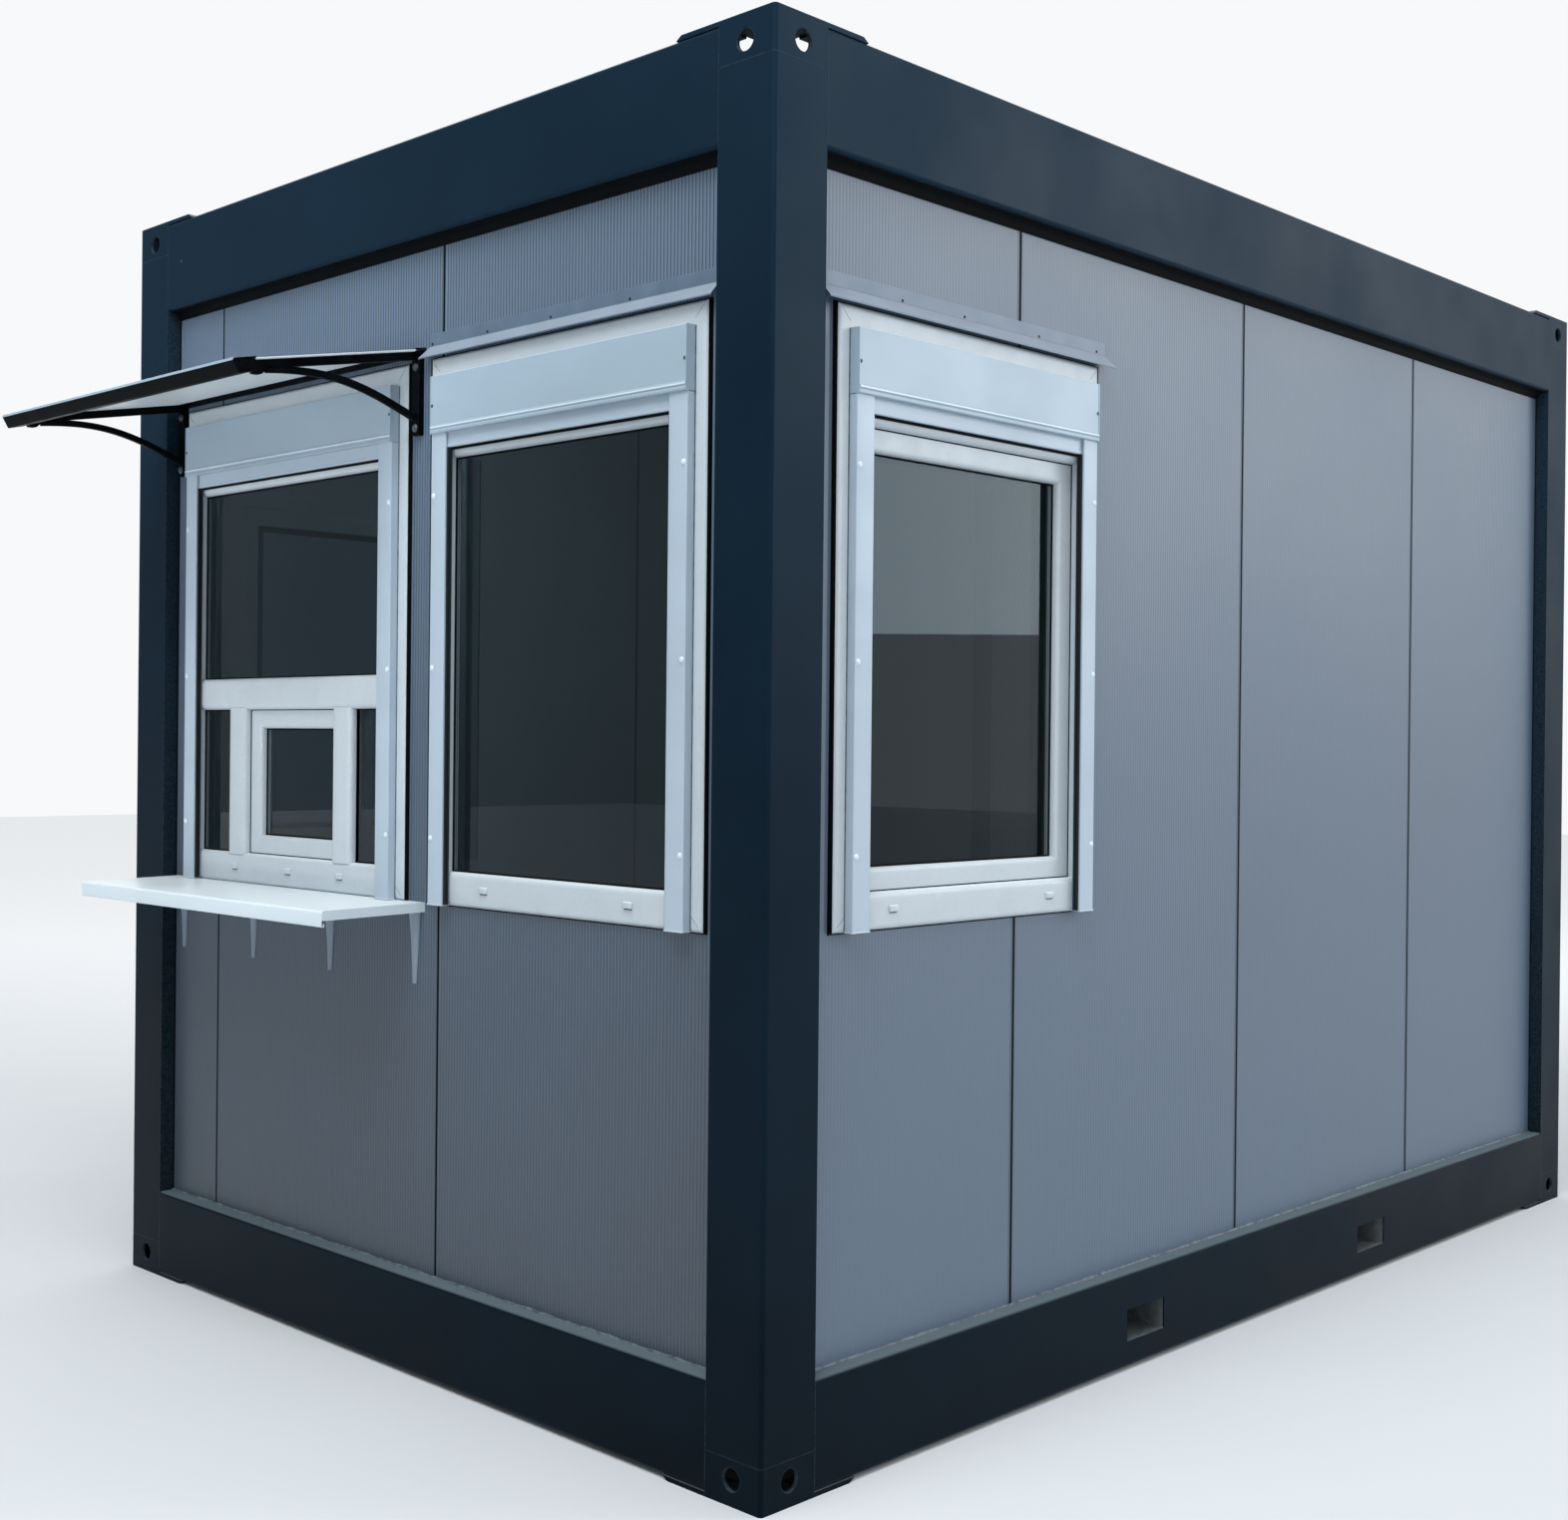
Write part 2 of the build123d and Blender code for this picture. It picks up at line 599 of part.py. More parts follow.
# Guide rails down both sides of each window, with a slot that faces the glass
with BuildPart() as shutter_guides:
    for wall, across in WINDOWS.values():
        slot_middle = GUIDE_OUT + GUIDE_DEPTH / 2
        slot = (slot_middle - GUIDE_SLOT / 2, slot_middle + GUIDE_SLOT / 2)
        up = (GUIDE_BOTTOM, BOX_BOTTOM)
        near = across[0] + GUIDE_INSET
        far = across[1] - GUIDE_INSET
        slab(wall, (near, near + GUIDE_WIDTH), up, (GUIDE_OUT, FRAME_OUT))
        slab(wall, (far - GUIDE_WIDTH, far), up, (GUIDE_OUT, FRAME_OUT))
        slab(wall, (near + GUIDE_WIDTH - GUIDE_SLOT_DEPTH, near + GUIDE_WIDTH), up, slot, Mode.SUBTRACT)
        slab(wall, (far - GUIDE_WIDTH, far - GUIDE_WIDTH + GUIDE_SLOT_DEPTH), up, slot, Mode.SUBTRACT)
save(shutter_guides, "shutter_guides")

# End slats of the rolled-up shutters, hanging from the boxes with their ends in the guides' slots
SLAT_IN_GUIDE = GUIDE_SLOT_DEPTH / 2
with BuildPart() as shutter_end_slats:
    for wall, across in WINDOWS.values():
        inset = GUIDE_INSET + GUIDE_WIDTH - SLAT_IN_GUIDE
        middle = GUIDE_OUT + GUIDE_DEPTH / 2
        slab(wall, (across[0] + inset, across[1] - inset), (BOX_BOTTOM - SLAT_HEIGHT, BOX_BOTTOM),
             (middle - SLAT_THICK / 2, middle + SLAT_THICK / 2))
save(shutter_end_slats, "shutter_end_slats")


def flashing(wall, across, overhang):
    """Folded drip above a window: a flange on the panel and a lip that falls outwards."""
    low = WINDOW_TOP + FLASHING_GAP
    fold = low + FLASHING_FALL
    face = RECESS
    section_bar(wall, [
        (face, fold + FLASHING_FLANGE),
        (face - FLASHING, fold + FLASHING_FLANGE),
        (face - FLASHING, fold),
        (face - FLASHING_REACH, low),
        (face - FLASHING_REACH, low - FLASHING),
        (face, fold - 2 * FLASHING),
    ], (across[0] - overhang, across[1] + overhang))


with BuildPart() as drip_flashings:
    flashing(RIGHT, WINDOWS["right"][1], SIDE_OVERHANG)
    flashing(LEFT, WINDOWS["left"][1], SIDE_OVERHANG)
    flashing(FRONT, WINDOWS["front"][1], FRONT_OVERHANG)
save(drip_flashings, "drip_flashings")

# Folded shelf under the hatch window, falling a little outwards
HATCH_ACROSS = WINDOWS["hatch"][1]
SHELF_ACROSS = (HATCH_ACROSS[0] - SHELF_OVERHANG_FAR, HATCH_ACROSS[1] + SHELF_OVERHANG_NEAR)
SHELF_BACK = WINDOW_BOTTOM
SHELF_FRONT = SHELF_BACK - SHELF_FALL
SHELF_SLOPE = SHELF_FALL / SHELF_REACH
SHELF_EDGE = RECESS - SHELF_REACH
with BuildPart() as shelf:
    section_bar(FRONT, [
        (RECESS, SHELF_BACK),
        (RECESS, SHELF_BACK - SHELF_SHEET),
        (SHELF_EDGE + SHELF_HEM, SHELF_FRONT + SHELF_SLOPE * SHELF_HEM - SHELF_SHEET),
        (SHELF_EDGE + SHELF_HEM, SHELF_FRONT - SHELF_LIP),
        (SHELF_EDGE, SHELF_FRONT - SHELF_LIP),
        (SHELF_EDGE, SHELF_FRONT),
    ], SHELF_ACROSS)
    cheek = [
        (RECESS, SHELF_BACK),
        (RECESS, SHELF_BACK - SHELF_SIDE),
        (SHELF_EDGE, SHELF_FRONT - SHELF_SIDE),
        (SHELF_EDGE, SHELF_FRONT),
    ]
    section_bar(FRONT, cheek, (SHELF_ACROSS[0], SHELF_ACROSS[0] + SHELF_SHEET))
    section_bar(FRONT, cheek, (SHELF_ACROSS[1] - SHELF_SHEET, SHELF_ACROSS[1]))
save(shelf, "shelf")


def tapered(plane, middle, start, stop, thickness):
    """Flat strap on a plane, from its wide end to its narrow end."""
    with BuildSketch(plane) as strap:
        with BuildLine():
            Polyline(
                (middle - BRACKET_WIDE / 2, start),
                (middle + BRACKET_WIDE / 2, start),
                (middle + BRACKET_TIP / 2, stop),
                (middle - BRACKET_TIP / 2, stop),
                close=True,
            )
        make_face()
    extrude(strap.sketch, amount=thickness)


# Pressed brackets under the shelf: a leg on the wall, an arm under the sheet and a web between them
with BuildPart() as shelf_brackets:
    first = SHELF_ACROSS[0] + BRACKET_INSET
    pitch = (SHELF_ACROSS[1] - SHELF_ACROSS[0] - 2 * BRACKET_INSET) / (BRACKETS - 1)
    seat = SHELF_BACK - SHELF_SHEET
    shelf_plane = Plane(origin=(0, RECESS - LENGTH / 2, seat), x_dir=(1, 0, 0), z_dir=(0, SHELF_SLOPE, -1))
    for number in range(BRACKETS):
        middle = first + number * pitch
        tapered(FRONT.offset(-RECESS), middle, seat - BRACKET_STEEL / 2, seat - BRACKET_LEG, BRACKET_STEEL)
        tapered(shelf_plane, middle, BRACKET_STEEL / 2, BRACKET_ARM, BRACKET_STEEL)
        section_bar(FRONT, [
            (RECESS - BRACKET_STEEL / 2, seat - BRACKET_STEEL / 2),
            (RECESS - BRACKET_STEEL / 2, seat - BRACKET_GUSSET),
            (RECESS - BRACKET_GUSSET, seat - BRACKET_STEEL),
        ], (middle - BRACKET_WEB / 2, middle + BRACKET_WEB / 2))
save(shelf_brackets, "shelf_brackets")

# Canopy: a clear sheet between a front rail and a wall rail, on two brackets with curved struts
CANOPY_ACROSS = (HATCH_ACROSS[0] - CANOPY_OVERHANG, HATCH_ACROSS[1] + CANOPY_OVERHANG)
CANOPY_WALL_LEVEL = WINDOW_TOP + CANOPY_RISE
CANOPY_SLOPE = CANOPY_FALL / CANOPY_REACH
ARM_START = RECESS - WALL_PLATE_DEPTH


def canopy_top(depth):
    """Level of the bracket arms' top, where the sheet lies, at a depth in from the frame's face."""
    return CANOPY_WALL_LEVEL - CANOPY_SLOPE * (ARM_START - depth)


NOSE = ARM_START - CANOPY_REACH
WALL_PLATE_BOTTOM = CANOPY_WALL_LEVEL - WALL_PLATE_HEIGHT
RAIL_FRONT = NOSE - SEAT - FRONT_RAIL_DEPTH
STRUT_MIDDLE = ARM_START - STRUT_MIDDLE_REACH
STRUT_END = NOSE + NOSE_LENGTH
BRACKET_MIDDLES = (CANOPY_ACROSS[0] + BRACKET_FROM_EDGE, CANOPY_ACROSS[1] - BRACKET_FROM_EDGE)
with BuildPart() as canopy_brackets:
    for middle in BRACKET_MIDDLES:
        slab(FRONT, (middle - WALL_PLATE_WIDTH / 2, middle + WALL_PLATE_WIDTH / 2),
             (WALL_PLATE_BOTTOM, CANOPY_WALL_LEVEL), (ARM_START, RECESS))
        section_bar(FRONT, [
            (ARM_START, canopy_top(ARM_START)),
            (ARM_START, canopy_top(ARM_START) - ARM_HEIGHT),
            (STRUT_END, canopy_top(STRUT_END) - ARM_HEIGHT),
            (STRUT_END - NOSE_LENGTH / 2, canopy_top(NOSE) - ARM_NOSE),
            (NOSE, canopy_top(NOSE) - ARM_NOSE),
            (NOSE, canopy_top(NOSE)),
        ], (middle - ARM_THICK / 2, middle + ARM_THICK / 2))
        with BuildSketch(section_plane(FRONT, middle - ARM_THICK / 2)):
            with BuildLine():
                ThreePointArc(
                    (ARM_START + STRUT / 4, CANOPY_WALL_LEVEL - STRUT_FOOT_DROP),
                    (STRUT_MIDDLE, canopy_top(STRUT_MIDDLE) - STRUT_MIDDLE_DROP),
                    (STRUT_END, canopy_top(STRUT_END) - ARM_NOSE * 3 / 4),
                )
            trace(line_width=STRUT)
        extrude(amount=ARM_THICK)
save(canopy_brackets, "canopy_brackets")


def sheet_section(back, front, clearance):
    """Section of the canopy sheet between two depths, grown by a clearance above and below."""
    return [
        (back, canopy_top(back) - clearance),
        (front, canopy_top(front) - clearance),
        (front, canopy_top(front) + CANOPY_SHEET + clearance),
        (back, canopy_top(back) + CANOPY_SHEET + clearance),
    ]


SHEET_BACK = RECESS - RAIL_SHEET - SEAT
SHEET_FRONT = RAIL_FRONT + FRONT_RAIL_DEPTH / 2
with BuildPart() as canopy_sheet:
    section_bar(FRONT, sheet_section(SHEET_BACK, SHEET_FRONT, 0), CANOPY_ACROSS)
save(canopy_sheet, "canopy_sheet")

# Rails that grip the sheet's front edge and its wall edge, notched for the brackets
with BuildPart() as canopy_rails:
    rail_back = RAIL_FRONT + FRONT_RAIL_DEPTH
    section_bar(FRONT, [
        (RAIL_FRONT, canopy_top(RAIL_FRONT) + CANOPY_SHEET + RAIL_SHEET),
        (RAIL_FRONT + FRONT_RAIL_LEAN, canopy_top(RAIL_FRONT) - FRONT_RAIL_HEIGHT),
        (rail_back, canopy_top(rail_back) - FRONT_RAIL_HEIGHT),
        (rail_back, canopy_top(rail_back) + CANOPY_SHEET + RAIL_SHEET),
    ], CANOPY_ACROSS)
    wall_rail_front = RECESS - WALL_RAIL_DEPTH
    section_bar(FRONT, [
        (RECESS, canopy_top(RECESS) + CANOPY_SHEET + RAIL_SHEET),
        (RECESS, canopy_top(RECESS) - WALL_RAIL_DROP),
        (wall_rail_front, canopy_top(wall_rail_front) - RAIL_SHEET),
        (wall_rail_front, canopy_top(wall_rail_front) + CANOPY_SHEET + RAIL_SHEET),
    ], CANOPY_ACROSS)
    section_bar(FRONT, sheet_section(SHEET_BACK + SEAT, SHEET_FRONT - SEAT, SEAT), CANOPY_ACROSS,
                Mode.SUBTRACT)
    for middle in BRACKET_MIDDLES:
        half = WALL_PLATE_WIDTH / 2 + SEAT
        section_bar(FRONT, [
            (RECESS, canopy_top(RECESS) + SEAT),
            (RECESS, WALL_PLATE_BOTTOM),
            (wall_rail_front, WALL_PLATE_BOTTOM),
            (wall_rail_front, canopy_top(wall_rail_front) + SEAT),
        ], (middle - half, middle + half), Mode.SUBTRACT)
save(canopy_rails, "canopy_rails")

# Door in the rear wall: a frame with a threshold, and a leaf that laps over it
DOOR_SIGHT = (
    (DOOR_RANGE[0][0] + DOOR_FRAME_FACE, DOOR_RANGE[0][1] - DOOR_FRAME_FACE),
    (DOOR_RANGE[1][0] + DOOR_THRESHOLD, DOOR_RANGE[1][1] - DOOR_FRAME_FACE),
)
LEAF_BACK = DOOR_FRAME_OUT - SEAT
LEAF_FACE = LEAF_BACK - LEAF_SKIN
LEAF_INSIDE = LEAF_BACK + LEAF_BODY
with BuildPart() as door_frame:
    slab(BACK, *DOOR_RANGE, (DOOR_FRAME_OUT, FRAME_BACK))
    slab(BACK, *DOOR_SIGHT, (DOOR_FRAME_OUT, FRAME_BACK), Mode.SUBTRACT)
save(door_frame, "door_frame")

with BuildPart() as door_leaf:
    slab(BACK, *grown(DOOR_SIGHT, LEAF_LAP), (LEAF_FACE, LEAF_BACK))
    slab(BACK, *grown(DOOR_SIGHT, -LEAF_PLAY), (LEAF_BACK, LEAF_INSIDE))
save(door_leaf, "door_leaf")

# Lever handles on both faces of the leaf
HANDLE_ACROSS = DOOR_SIGHT[0][1] - HANDLE_FROM_EDGE
HANDLE_UP = FLOOR_LEVEL + HANDLE_LEVEL
with BuildPart() as door_handle:
    for face, way in ((LEAF_FACE, -1), (LEAF_INSIDE, 1)):
        plate = sorted((face, face + way * HANDLE_PLATE))
        slab(BACK, (HANDLE_ACROSS - HANDLE_PLATE_WIDTH / 2, HANDLE_ACROSS + HANDLE_PLATE_WIDTH / 2),
             (HANDLE_UP - HANDLE_PLATE_HEIGHT * 2 / 3, HANDLE_UP + HANDLE_PLATE_HEIGHT / 3), plate)
        lever = face + way * LEVER_STANDOFF
        with BuildSketch(BACK.offset(-lever)):
            with Locations((HANDLE_ACROSS, HANDLE_UP)):
                Circle(LEVER / 2)
        extrude(amount=way * LEVER_STANDOFF)
        with BuildSketch(section_plane(BACK, HANDLE_ACROSS - LEVER_LENGTH)):
            with Locations((lever, HANDLE_UP)):
                Circle(LEVER / 2)
        extrude(amount=LEVER_LENGTH + LEVER / 2)
save(door_handle, "door_handle")

# Barrel hinges on the leaf's other edge
HINGE_ACROSS = DOOR_SIGHT[0][0] - LEAF_LAP - HINGE_ROUND / 2 - SEAT
HINGE_DEPTH = DOOR_FRAME_OUT - SEAT - HINGE_ROUND / 2
with BuildPart() as door_hinges:
    rise = (DOOR_SIGHT[1][1] - DOOR_SIGHT[1][0]) / HINGES
    for number in range(HINGES):
        low = DOOR_SIGHT[1][0] + (number + 0.5) * rise - HINGE_LENGTH / 2
        high = low + HINGE_LENGTH
        with BuildSketch(Plane.XY.offset(low)):
            with Locations((-HINGE_ACROSS, LENGTH / 2 - HINGE_DEPTH)):
                Circle(HINGE_ROUND / 2)
        extrude(amount=HINGE_LENGTH)
        slab(BACK, (HINGE_ACROSS - HINGE_PLATE, HINGE_ACROSS), (low, high),
             (DOOR_FRAME_OUT - HINGE_LEAF, DOOR_FRAME_OUT))
        slab(BACK, (HINGE_ACROSS, HINGE_ACROSS + HINGE_PLATE), (low, high),
             (LEAF_FACE - HINGE_LEAF, LEAF_FACE))
save(door_hinges, "door_hinges")
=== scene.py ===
"""Looks of the security guard booth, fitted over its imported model.

Most pieces lie on a wall and are worked out in that wall's own numbers: the distance along it from
the corner at its near end, the level above ground, and how far out from the frame's face. These are
millimetres, as are the sizes in comments; a piece becomes metres in the shared frame when it is made.
"""

import math

import bmesh
import bpy
import numpy as np
from bpy.props import FloatProperty, FloatVectorProperty, PointerProperty
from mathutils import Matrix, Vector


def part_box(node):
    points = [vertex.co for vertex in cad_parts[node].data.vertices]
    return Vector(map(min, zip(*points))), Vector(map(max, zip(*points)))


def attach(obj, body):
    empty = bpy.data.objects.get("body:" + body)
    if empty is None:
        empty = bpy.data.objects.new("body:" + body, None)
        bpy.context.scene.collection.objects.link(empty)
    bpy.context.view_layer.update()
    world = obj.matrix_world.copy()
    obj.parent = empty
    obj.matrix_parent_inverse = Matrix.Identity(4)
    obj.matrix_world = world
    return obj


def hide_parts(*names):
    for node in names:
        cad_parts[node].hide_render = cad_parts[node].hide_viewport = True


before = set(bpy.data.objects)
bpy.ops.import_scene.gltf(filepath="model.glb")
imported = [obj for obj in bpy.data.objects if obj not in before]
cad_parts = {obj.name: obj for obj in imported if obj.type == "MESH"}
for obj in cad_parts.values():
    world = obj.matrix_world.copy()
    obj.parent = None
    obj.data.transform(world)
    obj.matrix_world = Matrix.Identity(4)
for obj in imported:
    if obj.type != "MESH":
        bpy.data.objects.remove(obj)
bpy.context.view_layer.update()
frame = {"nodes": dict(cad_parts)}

bl_info = {
    "name": "Security guard booth",
    "version": (1, 0, 0),
    "blender": (4, 5, 0),
    "location": "3D View > Sidebar > Booth",
    "description": "Dresses the packed model of a security guard booth",
    "category": "Object",
}

MM = 1000.0


# Walls


class Wall:
    """One side of the booth: its near corner, its direction along and its direction outwards."""

    def __init__(self, corner, along, outward, length):
        self.corner = np.array((*corner, 0.0))
        self.axes = np.array(((*along, 0.0), (0.0, 0.0, 1.0), (*outward, 0.0)))
        self.mirrored = np.linalg.det(self.axes) < 0
        self.length = length

    def place(self, shape):
        """A shape in wall numbers, moved to the shared frame, with its faces still outwards."""
        points, faces = shape
        if self.mirrored:
            faces = [face[::-1] for face in faces]
        return self.corner + points @ self.axes, faces

    def extent(self, node):
        """Where a CAD node lies: its lowest and highest distance along, level and height out."""
        corners = np.array([tuple(corner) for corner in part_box(node)]) * MM
        spans = (corners - self.corner) @ self.axes.T
        return spans.min(0), spans.max(0)


post_low, post_high = (np.array(corner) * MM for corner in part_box("corner_posts"))
HALF_WIDTH = post_high[0]
HALF_LENGTH = post_high[1]
FRONT = Wall((HALF_WIDTH, -HALF_LENGTH), (-1, 0), (0, -1), 2 * HALF_WIDTH)
RIGHT = Wall((HALF_WIDTH, -HALF_LENGTH), (0, 1), (1, 0), 2 * HALF_LENGTH)
LEFT = Wall((-HALF_WIDTH, -HALF_LENGTH), (0, 1), (-1, 0), 2 * HALF_LENGTH)
BACK = Wall((HALF_WIDTH, HALF_LENGTH), (-1, 0), (0, 1), 2 * HALF_WIDTH)
WALL_OF = {"front": FRONT, "right": RIGHT, "left": LEFT, "back": BACK}
WINDOW_WALLS = {"right": RIGHT, "left": LEFT, "front": FRONT, "hatch": FRONT}
POST = HALF_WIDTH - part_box("wall_front")[1].x * MM
PANEL_OUT = FRONT.extent("wall_front")[1][2]
PANEL_IN = FRONT.extent("wall_front")[0][2]
LEDGE = FRONT.extent("wall_front")[0][1]
SOFFIT = FRONT.extent("wall_front")[1][1]
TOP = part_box("corner_blocks_top")[1].z * MM
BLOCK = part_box("corner_blocks_bottom")[1].z * MM
WINDOWS = {name: wall.extent(f"window_frame_{name}") for name, wall in WINDOW_WALLS.items()}
FRAME_OUT = WINDOWS["right"][1][2]
FRAME_BACK = WINDOWS["right"][0][2]
DOOR = BACK.extent("door_frame")

# Shutter rails: their width, how far out their faces lie, and the levels of their plugs
GUIDE = 55.0
GUIDE_OUT = -6.0
PLUG_LEVELS = (1286.0, 1688.0, 2094.0)

# Window frames: width of a side and of the head, and how far sashes and panes lie behind their faces
PANE_LIP = 80.0
HEADER = 243.0
RECESS = 20.3

# Bars of the hatch window: width, how far the upright ones are from its middle, and the level one's foot
MULLION = 84.0
MULLION_OFFSET = 247.5
TRANSOM_LOW = 1594.0

# Panel joints along the long walls and along the end walls
SIDE_JOINTS = (867.0, 1863.0, 2859.0)
END_JOINTS = (1115.0, 2111.0)

# Holes in the corner blocks: radius, distance from the corner, and distance from the top or foot
HOLE = 25.0
HOLE_ALONG = 82.0
HOLE_LEVEL = 54.0


# Shapes: a shape is an array of points and a list of faces


def grid(points, around=False):
    """Faces of a grid of points: row by row, each column to the next, and to the first if around."""
    rows, columns = points.shape[:2]
    index = np.arange(rows * columns).reshape(rows, columns)
    left = index if around else index[:, :-1]
    right = np.roll(index, -1, axis=1) if around else index[:, 1:]
    quads = np.stack((left[:-1], right[:-1], right[1:], left[1:]), -1).reshape(-1, 4)
    return points.reshape(-1, 3), quads.tolist()


def capped(points):
    """A grid of closed rows with its first and last row filled in, so that the shape is closed."""
    vertices, faces = grid(points, around=True)
    count = points.shape[1]
    last = len(vertices) - count
    return vertices, faces + [list(range(count))[::-1], list(range(last, last + count))]


def rounded(corners, steps=4):
    """Outline with soft corners: each corner (x, y, t) becomes the curve that leaves its two sides at a
    distance t, q(s) = (1-s)^2 before + 2s(1-s) corner + s^2 after."""
    corners = np.array(corners, float)
    at = corners[:, None, :2]
    reach = corners[:, None, 2:]
    before = np.roll(at, 1, axis=0) - at
    after = np.roll(at, -1, axis=0) - at
    before = at + before / np.linalg.norm(before, axis=2, keepdims=True) * reach
    after = at + after / np.linalg.norm(after, axis=2, keepdims=True) * reach
    s = np.linspace(0, 1, steps + 1)[None, :, None]
    curve = (1 - s) ** 2 * before + 2 * s * (1 - s) * at + s ** 2 * after
    return curve.reshape(-1, 2)


def carried(outline, axis, stations):
    """An outline carried straight along one axis: the outline's two numbers fill the other two axes."""
    stations = np.array(stations, float)
    points = np.zeros((len(stations), len(outline), 3))
    others = [number for number in range(3) if number != axis]
    points[:, :, axis] = stations[:, None]
    points[:, :, others[0]] = outline[None, :, 0]
    points[:, :, others[1]] = outline[None, :, 1]
    return capped(points)


def surround(profile, low, high, header=0.0):
    """A profile of (inset, out) carried round a rectangle with mitred corners. Insets past half of the
    profile grow by the header along the top, so that the top member is deeper."""
    inset, out = profile[:, 0], profile[:, 1]
    top = inset + header * (inset > inset.max() / 2)
    sides = (
        (low[0] + inset, low[1] + inset),
        (high[0] - inset, low[1] + inset),
        (high[0] - inset, high[1] - top),
        (low[0] + inset, high[1] - top),
    )
    rows = np.array([np.stack((along, level, out), -1) for along, level in sides])
    index = np.arange(rows.shape[0] * rows.shape[1]).reshape(rows.shape[:2])
    across = np.roll(index, -1, axis=1)
    below = np.roll(index, -1, axis=0)
    faces = np.stack((index, across, np.roll(across, -1, axis=0), below), -1)
    return rows.reshape(-1, 3), faces.reshape(-1, 4).tolist()


def turned(profile, centre, steps):
    """A profile of (radius, height) turned about the third axis through a centre: the other two numbers are
    the centre's plus radius times cosine and sine of the angle."""
    profile = np.array(profile, float)
    angle = np.linspace(0, 2 * math.pi, steps, endpoint=False)
    points = np.zeros((len(profile), steps, 3))
    points[:, :, 0] = centre[0] + profile[:, :1] * np.cos(angle)
    points[:, :, 1] = centre[1] + profile[:, :1] * np.sin(angle)
    points[:, :, 2] = centre[2] + profile[:, 1:2]
    return capped(points)


def ring_of(section, centre, steps=24):
    """A closed section of (radius, height) turned about the axis that points outwards: a torus of any
    section, closed both ways."""
    section = np.array(section, float)
    angle = np.linspace(0, 2 * math.pi, steps, endpoint=False)
    points = np.zeros((steps, len(section), 3))
    points[:, :, 0] = centre[0] + section[:, 0] * np.cos(angle)[:, None]
    points[:, :, 1] = centre[1] + section[:, 0] * np.sin(angle)[:, None]
    points[:, :, 2] = centre[2] + section[:, 1]
    index = np.arange(steps * len(section)).reshape(steps, len(section))
    beside = np.roll(index, -1, axis=1)
    faces = np.stack((index, beside, np.roll(beside, -1, axis=0), np.roll(index, -1, axis=0)), -1)
    return points.reshape(-1, 3), faces.reshape(-1, 4).tolist()


def followed(outline, path, middle):
    """An outline of (along, across) carried along a curve of (level, out) at one place along the wall:
    each point is the curve's plus across times the curve's normal there."""
    path = np.array(path, float)
    tangent = np.gradient(path, axis=0)
    tangent /= np.linalg.norm(tangent, axis=1, keepdims=True)
    normal = np.stack((tangent[:, 1], -tangent[:, 0]), -1)
    points = np.zeros((len(path), len(outline), 3))
    points[:, :, 0] = middle + outline[None, :, 0]
    points[:, :, 1:] = path[:, None] + outline[None, :, 1:] * normal[:, None]
    return capped(points)


def smooth_line(points, count=40):
    """A curve through measured points: each number is a polynomial of degree four, fitted to all of them,
    of the share of the length walked so far."""
    points = np.array(points, float)
    walked = np.concatenate(((0,), np.cumsum(np.linalg.norm(np.diff(points, axis=0), axis=1))))
    walked /= walked[-1]
    share = np.linspace(0, 1, count)
    return np.stack([np.polyval(np.polyfit(walked, points[:, n], 4), share) for n in range(2)], -1)


def box_outline(low, high, soften, steps=3):
    """Rectangle with softened corners."""
    return rounded([
        (low[0], low[1], soften),
        (high[0], low[1], soften),
        (high[0], high[1], soften),
        (low[0], high[1], soften),
    ], steps)


def piece(name, shapes, material, smooth=35.0, closed=True):
    """Makes one object of shapes in the shared frame's millimetres, riding on the booth."""
    counts = np.cumsum([0] + [len(points) for points, _ in shapes])
    points = np.concatenate([points for points, _ in shapes]) / MM
    faces = [[corner + start for corner in face] for start, (_, all_faces) in zip(counts, shapes)
             for face in all_faces]
    mesh = bpy.data.meshes.new(name)
    mesh.from_pydata(points.tolist(), [], faces)
    work = bmesh.new()
    work.from_mesh(mesh)
    bmesh.ops.remove_doubles(work, verts=work.verts, dist=2e-6)
    if closed:
        bmesh.ops.recalc_face_normals(work, faces=work.faces)
    work.to_mesh(mesh)
    work.free()
    mesh.shade_smooth()
    mesh.set_sharp_from_angle(angle=math.radians(smooth))
    mesh.materials.append(material)
    made = bpy.data.objects.new(name, mesh)
    bpy.context.scene.collection.objects.link(made)
    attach(made, "root")
    return made


def dress(material, *nodes):
    """Gives CAD nodes a material in place of their plain one."""
    for name in nodes:
        mesh = frame["nodes"][name].data
        mesh.materials.clear()
        mesh.materials.append(material)


# Materials


def linear(code):
    """Linear colour of an sRGB hex code."""
    parts = [int(code[start:start + 2], 16) / 255 for start in (1, 3, 5)]
    return tuple(part / 12.92 if part <= 0.04045 else ((part + 0.055) / 1.055) ** 2.4 for part in parts)


def scaled(colour, share, lift=0.0):
    """A colour with each part times a share, plus a lift."""
    return tuple(share * part + lift for part in colour)


def add(tree, kind, inputs=None, **settings):
    """Adds a node. Settings are its own; each input is a value, or an output to link from."""
    made = tree.nodes.new(kind)
    for name, value in settings.items():
        setattr(made, name, value)
    for name, value in (inputs or {}).items():
        if isinstance(value, bpy.types.NodeSocket):
            tree.links.new(value, made.inputs[name])
        else:
            made.inputs[name].default_value = value
    return made


